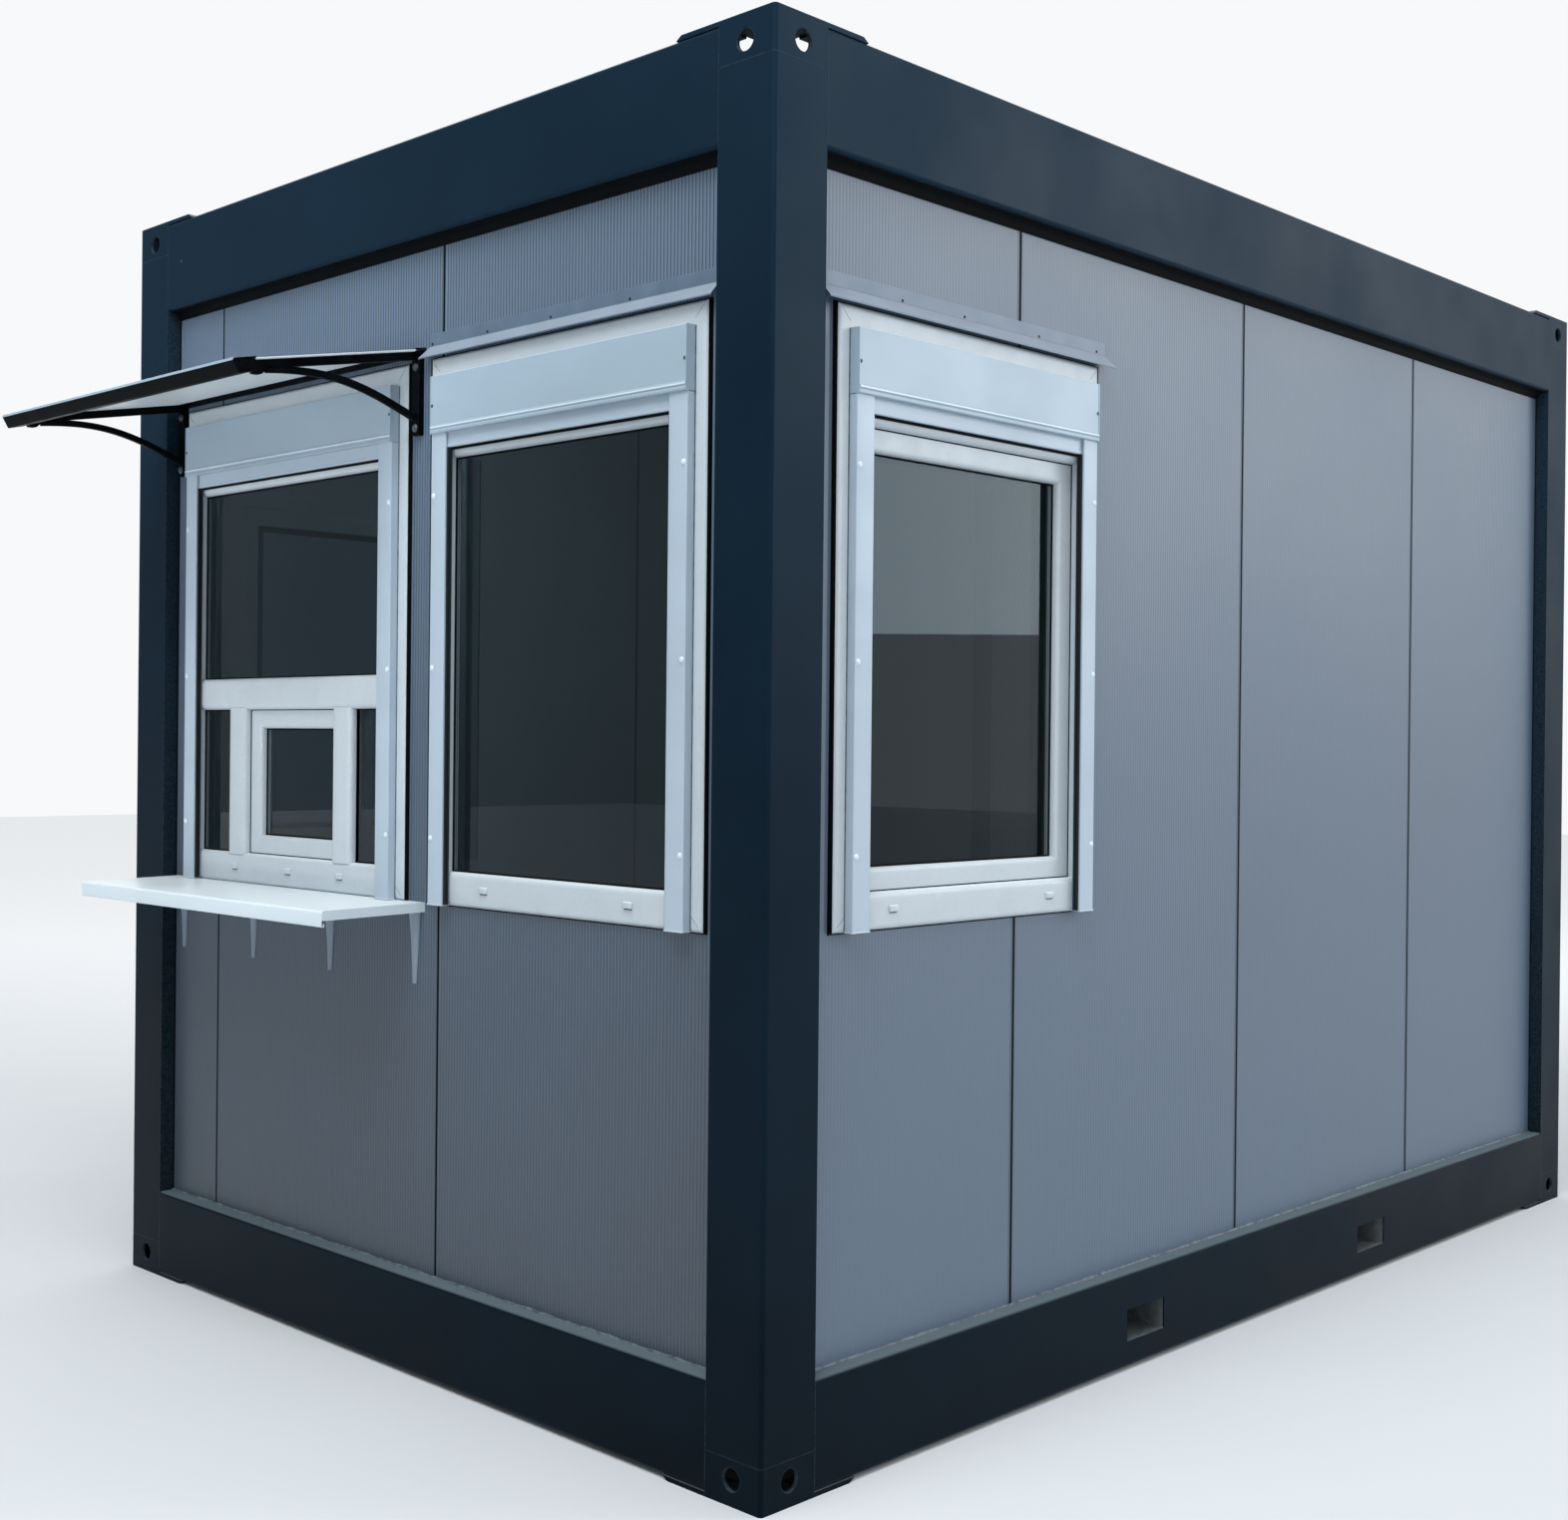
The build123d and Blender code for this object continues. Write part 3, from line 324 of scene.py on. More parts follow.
def paint(name, **uniform):
    """A new material with one shader, whose uniform values stand on its own sockets. Where the material is
    there already, its tree, shader and coordinates come back as None."""
    made = bpy.data.materials.get(name)
    if made:
        return made, None, None, None
    made = bpy.data.materials.new(name)
    made.use_nodes = True
    tree = made.node_tree
    shader = tree.nodes["Principled BSDF"]
    for socket, value in uniform.items():
        shader.inputs[socket.replace("_", " ")].default_value = value
    place = add(tree, "ShaderNodeTexCoord").outputs["Object"]
    return made, tree, shader, place


EVEN = (1, 1, 1)


def patches(tree, place, size, low=0.35, high=0.65, stretch=EVEN, detail=3.0):
    """Patchiness from 0 to 1 with patches of a size in millimetres, drawn out by stretch."""
    spread = add(tree, "ShaderNodeMapping", {"Vector": place, "Scale": tuple(1 / s for s in stretch)})
    noise = add(tree, "ShaderNodeTexNoise", {"Vector": spread.outputs["Vector"], "Scale": MM / size,
                                             "Detail": detail})
    ranged = add(tree, "ShaderNodeMapRange", {"Value": noise.outputs["Fac"], "From Min": low,
                                              "From Max": high})
    return ranged.outputs["Result"]


def coloured(tree, factor, first, second):
    """Colour that goes from the first to the second with a factor."""
    mixed = add(tree, "ShaderNodeMix", {"Factor": factor}, data_type="RGBA")
    for socket, colour in ((mixed.inputs[6], first), (mixed.inputs[7], second)):
        if isinstance(colour, bpy.types.NodeSocket):
            tree.links.new(colour, socket)
        else:
            socket.default_value = (*colour, 1.0)
    return mixed.outputs[2]


def roughened(tree, shader, factor, low, high):
    """Roughness that goes from low to high with a factor."""
    ranged = add(tree, "ShaderNodeMapRange", {"Value": factor, "To Min": low, "To Max": high})
    tree.links.new(ranged.outputs["Result"], shader.inputs["Roughness"])


def raised(tree, shader, height, depth):
    """Bump of a depth in millimetres from a height."""
    bump = add(tree, "ShaderNodeBump", {"Height": height, "Distance": depth / MM})
    tree.links.new(bump.outputs["Normal"], shader.inputs["Normal"])


def settled_dust_and_shading(tree, colour, dust_and_shading, amount):
    """Colour with dust and painted light from above on the faces that look up: none where they slope by 60
    degrees or more, and the whole amount where they are level."""
    normal = add(tree, "ShaderNodeNewGeometry").outputs["Normal"]
    facing = add(tree, "ShaderNodeSeparateXYZ", {"Vector": normal})
    upward = add(tree, "ShaderNodeMapRange", {"Value": facing.outputs["Z"], "From Min": 0.5, "From Max": 1.0,
                                              "To Max": amount})
    return coloured(tree, upward.outputs["Result"], colour, dust_and_shading)


def mottled(name, pattern, first, second, rough, depth=0.0, grain=None, dust_and_shading=None, **uniform):
    """A material of two colours and two roughnesses that one pattern of patches mixes. Its bump follows the
    same pattern, or a grain of its own, and one more pair gives the colour and amount of dust and painted
    light from above on its faces that look up."""
    made, tree, shader, place = paint(name, **uniform)
    if tree is None:
        return made
    share = patches(tree, place, *pattern)
    body = coloured(tree, share, first, second)
    if dust_and_shading:
        body = settled_dust_and_shading(tree, body, *dust_and_shading)
    tree.links.new(body, shader.inputs["Base Color"])
    roughened(tree, shader, share, *rough)
    if depth:
        raised(tree, shader, patches(tree, place, *grain) if grain else share, depth)
    return made


def enamelled_steel(colour):
    """Alkyd enamel sprayed on folded and welded steel: an even dark coat with the faint ripple of a spray
    gun, dulled in patches by weather, darker towards the ground and paler towards the top as painted shade
    and light, with dust and painted light from above on its ledges, a few chips down to the primer, and the
    weld beads between posts, rails and corner blocks showing through."""
    made, tree, shader, place = paint("enamelled_steel", IOR=1.5, Specular_IOR_Level=0.07,
                                      Specular_Tint=(0.5, 0.8, 1, 1))
    if tree is None:
        return made
    clouds = patches(tree, place, 420)
    # Painted shade and light: darker towards the ground, paler towards the top
    body = coloured(tree, raised_share(tree, place), scaled(colour, 0.3),
                    scaled(colour, 1.5, 0.001))
    body = coloured(tree, add(tree, "ShaderNodeMath", {0: clouds, 1: 0.12}, operation="MULTIPLY").outputs[0],
                    body, scaled(colour, 2.5, 0.004))
    specks = add(tree, "ShaderNodeTexVoronoi", {"Vector": place, "Scale": MM / 60})
    chips = add(tree, "ShaderNodeMapRange", {"Value": specks.outputs["Distance"], "From Min": 0.03,
                                             "From Max": 0.018})
    chosen = add(tree, "ShaderNodeSeparateXYZ", {"Vector": specks.outputs["Color"]})
    few = add(tree, "ShaderNodeMath", {0: chosen.outputs["X"], 1: 0.95}, operation="GREATER_THAN")
    chipped = add(tree, "ShaderNodeMath", {0: chips.outputs["Result"], 1: few.outputs[0]},
                  operation="MULTIPLY")
    body = coloured(tree, chipped.outputs[0], body, linear("#b3bec4"))
    # Paler on the ledges that look up: dust and painted light from above
    body = settled_dust_and_shading(tree, body, linear("#74838a"), 0.6)
    seam = weld_seams(tree, place)
    # The weld beads are drawn in a paler colour
    paler_seam = add(tree, "ShaderNodeMath", {0: seam, 1: 0.16}, operation="MULTIPLY").outputs[0]
    body = coloured(tree, paler_seam, body, linear("#56656f"))
    tree.links.new(body, shader.inputs["Base Color"])
    roughened(tree, shader, clouds, 0.34, 0.5)
    # The ripple of the spray is 3 mm wide, drawn 0.06 mm deep, where the real 0.02 mm wouldn't show
    ripple = add(tree, "ShaderNodeMath", {0: patches(tree, place, 3, 0, 1, detail=1.0), 1: 0.08},
                 operation="MULTIPLY").outputs[0]
    raised(tree, shader, add(tree, "ShaderNodeMath", {0: ripple, 1: seam}, operation="ADD").outputs[0], 0.7)
    return made


def raised_share(tree, place):
    """Share of the booth's height that a point has reached."""
    level = add(tree, "ShaderNodeSeparateXYZ", {"Vector": place}).outputs["Z"]
    return add(tree, "ShaderNodeMapRange", {"Value": level, "From Max": TOP / MM}).outputs["Result"]


def weld_seams(tree, place):
    """Height of the weld beads, 0 to 1: a bead where posts meet rails, which is the post's width in from
    each corner, and one where posts meet corner blocks. Its height comes and goes every 8 or so."""
    half = millimetres("weld") / 2 / MM
    parts = add(tree, "ShaderNodeSeparateXYZ", {"Vector": place})
    inwards = []
    for axis, edge in (("X", HALF_WIDTH - POST), ("Y", HALF_LENGTH - POST)):
        side = add(tree, "ShaderNodeMath", {0: parts.outputs[axis]}, operation="ABSOLUTE").outputs[0]
        inwards.append(add(tree, "ShaderNodeMath", {0: side, 1: edge / MM}, operation="SUBTRACT").outputs[0])
    upright = [add(tree, "ShaderNodeMath", {0: value}, operation="ABSOLUTE").outputs[0] for value in inwards]
    upright = add(tree, "ShaderNodeMath", {0: upright[0], 1: upright[1]}, operation="MINIMUM").outputs[0]
    on_post = add(tree, "ShaderNodeMath", {0: inwards[0], 1: inwards[1]}, operation="MINIMUM").outputs[0]
    on_post = add(tree, "ShaderNodeMath", {0: on_post, 1: 0.0}, operation="GREATER_THAN").outputs[0]
    middle = add(tree, "ShaderNodeMath", {0: parts.outputs["Z"], 1: TOP / 2 / MM}, operation="SUBTRACT")
    middle = add(tree, "ShaderNodeMath", {0: middle.outputs[0]}, operation="ABSOLUTE").outputs[0]
    level = add(tree, "ShaderNodeMath", {0: middle, 1: (TOP / 2 - BLOCK) / MM}, operation="SUBTRACT")
    level = add(tree, "ShaderNodeMath", {0: level.outputs[0]}, operation="ABSOLUTE").outputs[0]
    beads = []
    for distance in (upright, level):
        beads.append(add(tree, "ShaderNodeMapRange", {"Value": distance, "From Min": half, "From Max": 0.0},
                         interpolation_type="SMOOTHSTEP").outputs["Result"])
    beads[1] = add(tree, "ShaderNodeMath", {0: beads[1], 1: on_post}, operation="MULTIPLY").outputs[0]
    both = add(tree, "ShaderNodeMath", {0: beads[0], 1: beads[1]}, operation="MAXIMUM").outputs[0]
    return add(tree, "ShaderNodeMath", {0: both, 1: patches(tree, place, 8, 0.25, 0.7)},
               operation="MULTIPLY").outputs[0]


def coil_coated_steel(colour):
    """Polyester-coated steel sheet, roll-formed with fine ribs: satin, so that it lights up beside a bright
    sky, with a very fine grain, and painted shade with some dust in its grooves. Towards the ground the end
    walls are darker with painted shade, and the long walls paler with painted light."""
    made, tree, shader, place = paint("coil_coated_steel", IOR=1.5, Specular_IOR_Level=0.85)
    if tree is None:
        return made
    clouds = patches(tree, place, 700, 0.3, 0.7)
    end = on_end_wall(tree)
    # Painted shade and light by height: the end walls darker and the long walls paler towards the ground
    foot = coloured(tree, end, scaled(colour, 0.95), scaled(colour, 0.24))
    head = coloured(tree, end, scaled(colour, 0.85), scaled(colour, 1.5))
    body = coloured(tree, raised_share(tree, place), foot, head)
    body = coloured(tree, add(tree, "ShaderNodeMath", {0: clouds, 1: 0.2}, operation="MULTIPLY").outputs[0],
                    body, scaled(colour, 1.3))
    # Painted shade, with some dust, in the grooves between the ribs
    body = coloured(tree, grooves(tree, place, end), body, scaled(colour, 0.2))
    tree.links.new(body, shader.inputs["Base Color"])
    roughened(tree, shader, clouds, 0.4, 0.48)
    # The coat's grain is under 1 mm; it is drawn 2 mm wide so that it shows
    raised(tree, shader, patches(tree, place, 2, 0, 1, detail=1.0), 0.012)
    return made


def on_end_wall(tree):
    """One on faces that look along the booth's length, and zero on the others."""
    normal = add(tree, "ShaderNodeNewGeometry").outputs["Normal"]
    facing = add(tree, "ShaderNodeSeparateXYZ", {"Vector": normal})
    lengthways = add(tree, "ShaderNodeMath", {0: facing.outputs["Y"]}, operation="ABSOLUTE").outputs[0]
    return add(tree, "ShaderNodeMath", {0: lengthways, 1: 0.5}, operation="GREATER_THAN").outputs[0]


def grooves(tree, place, end):
    """Painted shade, with some dust, in the grooves between the ribs, which lie from 0.6 to 1 of each pitch
    along a wall: more of it on the end walls, where the ribs are deeper."""
    parts = add(tree, "ShaderNodeSeparateXYZ", {"Vector": place})
    held = []
    for axis, edge, turn, amount in (("X", HALF_WIDTH, -1, 0.65), ("Y", HALF_LENGTH, 1, 0.08)):
        waves = add(tree, "ShaderNodeMath", {0: parts.outputs[axis], 1: turn / millimetres("rib_pitch") * MM,
                                             2: edge / millimetres("rib_pitch")}, operation="MULTIPLY_ADD")
        share = add(tree, "ShaderNodeMath", {0: waves.outputs[0]}, operation="FRACT")
        low = add(tree, "ShaderNodeMath", {0: share.outputs[0], 1: 0.6}, operation="GREATER_THAN")
        dust_and_shading = add(tree, "ShaderNodeMath", {0: low.outputs[0], 1: amount}, operation="MULTIPLY")
        held.append(dust_and_shading.outputs[0])
    return add(tree, "ShaderNodeMix", {0: end, 2: held[1], 3: held[0]}).outputs[0]


def inner_lining(colour):
    """White polyester-coated sheet on the inside of the panels: satin, clean, with a faint grain."""
    return mottled("white_lining", (500,), colour, scaled(colour, 0.93), (0.42, 0.5), 0.03, (2, 0, 1),
                   IOR=1.5)


def extruded_plastic(colour):
    """Rigid PVC, extruded and welded at its corners: white, satin, with draw lines too faint to see and a
    little street dirt held in patches."""
    made, tree, shader, place = paint("extruded_plastic", IOR=1.53)
    if tree is None:
        return made
    clouds = patches(tree, place, 60, 0.4, 0.75, detail=5.0)
    smuts = patches(tree, place, 9, 0.56, 0.7, detail=6.0)
    body = coloured(tree, clouds, colour, scaled(colour, 0.95))
    # Paler on the faces that look up: dust and painted light from above
    body = settled_dust_and_shading(tree, body, linear("#dde6ea"), 0.9)
    body = coloured(tree, add(tree, "ShaderNodeMath", {0: smuts, 1: 0.25}, operation="MULTIPLY").outputs[0],
                    body, linear("#a9b0b0"))
    tree.links.new(body, shader.inputs["Base Color"])
    roughened(tree, shader, clouds, 0.3, 0.46)
    raised(tree, shader, patches(tree, place, 4, 0, 1, (1, 1, 12)), 0.03)
    return made


def coated_aluminium(colour, name="coated_aluminium"):
    """Roll-formed aluminium with a stove-enamelled coat: pale, slightly bluer than the plastic beside it,
    satin, with dull patches of dirt along its length, and pale dust and painted light from above on the
    edges that look up."""
    return mottled(name, (150, 0.38, 0.7, (2, 2, 1)), colour, scaled(colour, 0.94), (0.3, 0.42), 0.03,
                   (3, 0, 1, EVEN, 1.0), (linear("#e6eef2"), 0.9), IOR=1.5)


def powder_coat(colour):
    """Polyester powder baked on steel profiles: near-black, with the low, close ripple of powder that has
    flowed out, and a little grey on the faces that look up, dust and painted light from above."""
    return mottled("powder_coated_steel", (60,), colour, scaled(colour, 1.5, 0.002), (0.36, 0.52), 0.06,
                   (2, 0, 1, EVEN, 1.0), (linear("#5b646b"), 0.5), IOR=1.5, Specular_IOR_Level=0.03)


def galvanised_steel(colour):
    """Hot-dip galvanised sheet: dull zinc in crystal patches of 8 to 15 mm, each with its own grey."""
    made, tree, shader, place = paint("galvanised_steel", Metallic=1.0)
    if tree is None:
        return made
    crystals = add(tree, "ShaderNodeTexVoronoi", {"Vector": place, "Scale": MM / 12})
    tone = add(tree, "ShaderNodeSeparateXYZ", {"Vector": crystals.outputs["Color"]}).outputs["X"]
    tree.links.new(coloured(tree, tone, colour, scaled(colour, 0.72)), shader.inputs["Base Color"])
    roughened(tree, shader, tone, 0.42, 0.6)
    raised(tree, shader, tone, 0.02)
    return made


def brushed_steel(colour):
    """Stainless steel, turned or brushed: bright, with fine lines along its height, which are 0.5 mm apart
    and drawn 0.9 mm apart so that they show."""
    return mottled("brushed_steel", (0.9, 0.2, 0.8, (1, 1, 30)), colour, scaled(colour, 0.86), (0.24, 0.4),
                   0.01, Metallic=1.0)


def float_glass(colour):
    """Double glazing of float glass with a sun coat: flat, glossy and dark, so that the unlit room behind it
    just shows, with wiping smears that dull it in patches. The coat damps its reflections, so the IOR is set
    below the usual 1.52."""
    return mottled("float_glass", (260, 0.35, 0.8, (1, 1, 3)), colour, scaled(colour, 1.1), (0.0, 0.015),
                   IOR=1.38, Specular_Tint=(0.7, 0.88, 1, 1), Transmission_Weight=1.0)


def worn_edge():
    """Enamel rubbed thin on the rim of a lifting hole: grey where steel shows through, in patches."""
    return mottled("rubbed_enamel", (9,), linear("#101c25"), linear("#2b3842"), (0.4, 0.6), 0.1, IOR=1.5,
                   Specular_IOR_Level=0.1)


def chalked_and_skylit_steel(colour):
    """The panels' coat on a folded drip: the same grey where it stands upright, and nearly white where it
    faces the sky, painted light from above with some chalky dust."""
    return mottled("chalked_and_skylit_coated_steel", (80,), colour, scaled(colour, 1.2), (0.4, 0.5), 0.03, (3, 0, 1),
                   (linear("#c3cad3"), 0.9), IOR=1.5, Specular_IOR_Level=0.85)


def spacer_bar():
    """Steel spacer between the panes, seen through the glass and so dark: dull grey with a row of fine
    holes, drawn as a 2 mm mottle."""
    return mottled("spacer_bar", (2,), linear("#5b666c"), linear("#49545a"), (0.4, 0.55), IOR=1.5,
                   Specular_IOR_Level=0.2)


def dull_fastener():
    """Zinc-plated screws and bolts some years old: grey, dulled white in patches where the zinc has
    bloomed."""
    return mottled("dull_zinc_plating", (4,), linear("#343c42"), linear("#67717a"), (0.4, 0.65), 0.05,
                   Metallic=0.5)


def rubber_seal():
    """Extruded synthetic rubber: black, matt, with a faint skin."""
    return mottled("rubber_seal", (6,), linear("#030506"), linear("#0b0f12"), (0.6, 0.78), 0.04, IOR=1.5,
                   Specular_IOR_Level=0.06)


def bristles():
    """Nylon pile along the guides: nearly black, made of hairs 0.3 mm apart, drawn 1 mm apart so that they
    show."""
    return mottled("nylon_pile", (1.0, 0.3, 0.7), linear("#0d1013"), linear("#2b3035"), (0.7, 0.9), 0.4,
                   IOR=1.53, Specular_IOR_Level=0.15)


def sealant():
    """Silicone run along the joints by hand: grey, slightly glossy, with dirt on its high spots."""
    return mottled("silicone_sealant", (18, 0.4, 0.7), linear("#5e6a72"), linear("#39434b"), (0.35, 0.6),
                   0.3, (12, 0, 1), IOR=1.41)


def acrylic_sheet(colour):
    """Cast acrylic, opal with weather and dust: light spreads inside it and comes through, but no clear
    view."""
    return mottled("acrylic_sheet", (380, 0.3, 0.7), colour, scaled(colour, 0.93), (0.3, 0.42), 0.1,
                   (120, 0, 1), IOR=1.49, Transmission_Weight=0.2, Subsurface_Weight=1.0,
                   Subsurface_Radius=(1, 1, 1), Subsurface_Scale=0.02)


def sealed_board(colour):
    """Film-faced plywood: brown, with the pressed mesh of its anti-slip face every 5 mm and scuffs."""
    made, tree, shader, place = paint("film_faced_plywood", IOR=1.5)
    if tree is None:
        return made
    scuffs = patches(tree, place, 80, 0.5, 0.8)
    tree.links.new(coloured(tree, scuffs, colour, scaled(colour, 1.5)), shader.inputs["Base Color"])
    roughened(tree, shader, scuffs, 0.45, 0.65)
    mesh = add(tree, "ShaderNodeTexVoronoi", {"Vector": place, "Scale": MM / 5, "Randomness": 0.0})
    raised(tree, shader, mesh.outputs["Distance"], 0.3)
    return made


def white_board(colour):
    """Melamine-faced board: white, smooth, low gloss, with the faint pebble of its press plate."""
    return mottled("melamine_board", (300,), colour, scaled(colour, 0.95), (0.4, 0.5), 0.04, (3, 0, 1),
                   IOR=1.5)


# Settings


def colour_setting(label, text, code):
    """Property for a finish's colour."""
    return FloatVectorProperty(name=label, description=text, subtype="COLOR", size=3, min=0, max=1,
                               default=linear(code))


def size_setting(label, text, length):
    """Property for a length, given in millimetres and kept in metres."""
    return FloatProperty(name=label, description=text, subtype="DISTANCE", unit="LENGTH", min=0,
                         default=length / MM)


class BoothColours(bpy.types.PropertyGroup):
    """Colours of the booth's finishes"""

    frame: colour_setting("Frame", "Enamel on the steel frame", "#0a1b28")
    panels: colour_setting("Panels", "Coat on the outside of the wall panels", "#4f6174")
    lining: colour_setting("Lining", "Coat on the inside of the wall panels", "#dfe2e2")
    windows: colour_setting("Windows", "Plastic of the window frames", "#b9c3ca")
    shutters: colour_setting("Shutters", "Coat on the shutter boxes", "#98abb9")
    # Paler than the boxes' coat: painted light
    rails: colour_setting("Shutter rails", "Coat on the shutter rails and end slats", "#a9b9c7")
    shelf: colour_setting("Shelf", "Coat on the folded shelf", "#d0dde5")
    brackets: colour_setting("Shelf brackets", "Coat on the shelf's brackets", "#7f8f9d")
    glass: colour_setting("Glass", "Tint of the panes", "#53626a")
    canopy: colour_setting("Canopy profiles", "Powder coat on the canopy's profiles", "#030608")
    canopy_sheet: colour_setting("Canopy sheet", "Tint of the canopy's sheet", "#c2cbd1")
    zinc: colour_setting("Zinc", "Galvanised steel under the floor and on the roof", "#a7adb0")
    screws: colour_setting("Screws and handles", "Bright steel parts", "#c4c6c6")
    floor_board: colour_setting("Floor", "Film on the floor boards", "#4a3427")
    ceiling: colour_setting("Ceiling", "Face of the ceiling board", "#e4e5e3")


class BoothSizes(bpy.types.PropertyGroup):
    """Sizes of the booth's details"""

    rib_pitch: size_setting("Rib pitch", "Distance between the panels' fine ribs", 10.5)
    rib_height_end: size_setting("Ribs on the end walls", "Height of the ribs on front and rear", 0.9)
    rib_height_long: size_setting("Ribs on the long walls", "Height of the ribs on left and right", 0.25)
    joint: size_setting("Panel joint", "Width of the open joint between two panels", 7)
    plug: size_setting("Plug", "Diameter of the domed plugs in the shutter rails", 13)
    screw: size_setting("Screw", "Diameter of the screw heads", 9)
    bolt: size_setting("Bolt", "Diameter of the canopy's bolt heads", 17)
    weld: size_setting("Weld", "Width of the weld seams on the frame", 5)
    seal: size_setting("Seal", "Width of the glazing seals", 4)
    shelf_sheet: size_setting("Shelf sheet", "Thickness of the folded shelf", 2)


def colours():
    """The scene's colours."""
    return bpy.context.scene.booth_colours


def millimetres(name):
    """One of the scene's sizes in millimetres."""
    return getattr(bpy.context.scene.booth_sizes, name) * MM


# Pieces


def gaps_between(low, high, taken):
    """Spans from low to high that the taken spans leave."""
    spans = []
    at = low
    for start, stop in sorted(taken):
        if start > at:
            spans.append((at, start))
        at = max(at, stop)
    if at < high:
        spans.append((at, high))
    return spans


def ribbed_sheet(span, rise, out, pitch, height, inward, rolled):
    """Roll-formed sheet: its distance out is that of its face plus height times a trapezoid wave of the
    distance along, one wave a pitch, with flanks an eighth of the pitch wide. An end at a joint swells by 1
    and rolls in by 3."""
    start = math.floor(span[0] / pitch) * pitch
    waves = start + pitch * np.arange(math.ceil((span[1] - start) / pitch) + 1)
    along = (waves[:, None] + pitch * np.array((0.0, 0.12, 0.52, 0.64))).ravel()
    wave = np.tile((0.0, height, height, 0.0), len(waves))
    first = np.array(((0.0, -3.0), (0.6, 0.3), (1.6, 1.0), (4.0, 1.0), (5.5, 0.0)))
    ends = [first if rolled[side] else np.array(((0.0, height),)) for side in (0, 1)]
    near, far = span[0] + ends[0][:, 0], span[1] - ends[1][::-1, 0]
    inside = (along > near[-1] + 0.3) & (along < far[0] - 0.3)
    line = np.concatenate((near, along[inside], far))
    lift = np.concatenate((ends[0][:, 1], wave[inside], ends[1][::-1, 1])) * (-1 if inward else 1)
    points = np.zeros((2, len(line), 3))
    points[:, :, 0] = line
    points[:, :, 1] = np.array(rise, float)[:, None]
    points[:, :, 2] = out + lift
    vertices, faces = grid(points)
    if inward:
        faces = [face[::-1] for face in faces]
    return vertices, faces


def wall_sheets(wall, joints, openings, out, height, inward=False):
    """Ribbed sheets over one face of a wall, cut at its joints and round its openings. They stop a little
    short of the posts, and spans too narrow for a rib are left out."""
    edge, narrowest = POST + 1.5, 12
    pitch = millimetres("rib_pitch")
    half = millimetres("joint") / 2
    low, high = LEDGE + 0.5, SOFFIT - 0.5
    cuts = [(joint - half, joint + half) for joint in joints]
    levels = sorted({low, high, *(min(max(level, low), high) for _, rise in openings for level in rise)})
    shapes = []
    for bottom, top in zip(levels[:-1], levels[1:]):
        if top - bottom < 1:
            continue
        middle = (bottom + top) / 2
        open_here = [span for span, rise in openings if rise[0] < middle < rise[1]]
        for span in gaps_between(edge, wall.length - edge, cuts + open_here):
            if span[1] - span[0] > narrowest:
                rolled = (any(abs(span[0] - cut[1]) < 0.1 for cut in cuts),
                          any(abs(span[1] - cut[0]) < 0.1 for cut in cuts))
                sheet = ribbed_sheet(span, (bottom, top), out, pitch, height, inward, rolled)
                shapes.append(wall.place(sheet))
    return shapes


def openings_of(place):
    """Openings of a wall: (span along, rise) of each."""
    found = []
    for name, (low, high) in WINDOWS.items():
        if WINDOW_WALLS[name] is WALL_OF[place]:
            found.append(((low[0], high[0]), (low[1], high[1])))
    if place == "back":
        found.append(((DOOR[0][0], DOOR[1][0]), (DOOR[0][1] - 1, DOOR[1][1])))
    return found


class BOOTH_OT_panels(bpy.types.Operator):
    """Dresses the wall panels with fine ribs, a white lining, gaskets, a black plate of painted shade under
    the top rail, joint strips and sealant
    """

    bl_idname = "booth.panels"
    bl_label = "Wall panels"

    def execute(self, context):
        coat = coil_coated_steel(colours().panels)
        lining = inner_lining(colours().lining)
        dress(coat, *(f"wall_{place}" for place in WALL_OF))
        half = millimetres("joint") / 2
        gaskets_and_shade, beads = [], []
        for place, wall in WALL_OF.items():
            long = place in ("left", "right")
            joints = SIDE_JOINTS if long else END_JOINTS
            height = millimetres("rib_height_long" if long else "rib_height_end")
            outside = wall_sheets(wall, joints, openings_of(place), PANEL_OUT + 0.3, height)
            inside = wall_sheets(wall, joints, openings_of(place), PANEL_IN - 0.3, height, True)
            piece(f"panel_ribs_{place}", outside, coat, 20, closed=False)
            piece(f"panel_lining_{place}", inside, lining, 20, closed=False)
            span = (POST + 0.5, wall.length - POST - 0.5)
            # Gasket under the top rail, with a black plate in front of it that reaches up to the rail and
            # covers its
            # underside: painted shade
            strip = rounded([
                (SOFFIT + 0.2, PANEL_OUT - 0.5, 0.2), (SOFFIT - 22, PANEL_OUT - 0.5, 0.2),
                (SOFFIT - 22, PANEL_OUT + 4, 1.5), (SOFFIT - 7, PANEL_OUT + 12, 4), (SOFFIT - 2.4, -18, 2),
                (SOFFIT - 2.4, -10.5, 0.5), (SOFFIT + 0.2, -10.5, 0.3),
            ], 3)
            gaskets_and_shade.append(wall.place(carried(strip, 0, span)))
            for joint in joints:
                taken = [rise for over, rise in openings_of(place) if over[0] < joint < over[1]]
                strip = box_outline((joint - half - 0.3, PANEL_OUT - 1),
                                    (joint + half + 0.3, PANEL_OUT + 0.2), 0.3)
                for run in gaps_between(LEDGE + 1, SOFFIT - 20, taken):
                    gaskets_and_shade.append(wall.place(carried(strip, 1, run)))
            for side in (span[0], span[1] - 3.5):
                strip = box_outline((side, PANEL_OUT - 0.5), (side + 3.5, PANEL_OUT + 3), 1)
                gaskets_and_shade.append(wall.place(carried(strip, 1, (LEDGE + 0.5, SOFFIT - 20))))
            sills = [(DOOR[0][0], DOOR[1][0])] if place == "back" else []
            for run in gaps_between(*span, sills):
                beads.append(wall.place(sealant_bead(run, LEDGE, PANEL_OUT, 4.2)))
        piece("panel_gaskets_and_shade", gaskets_and_shade, rubber_seal(), 40)
        piece("ledge_sealant", beads, sealant(), 60)
        return {"FINISHED"}


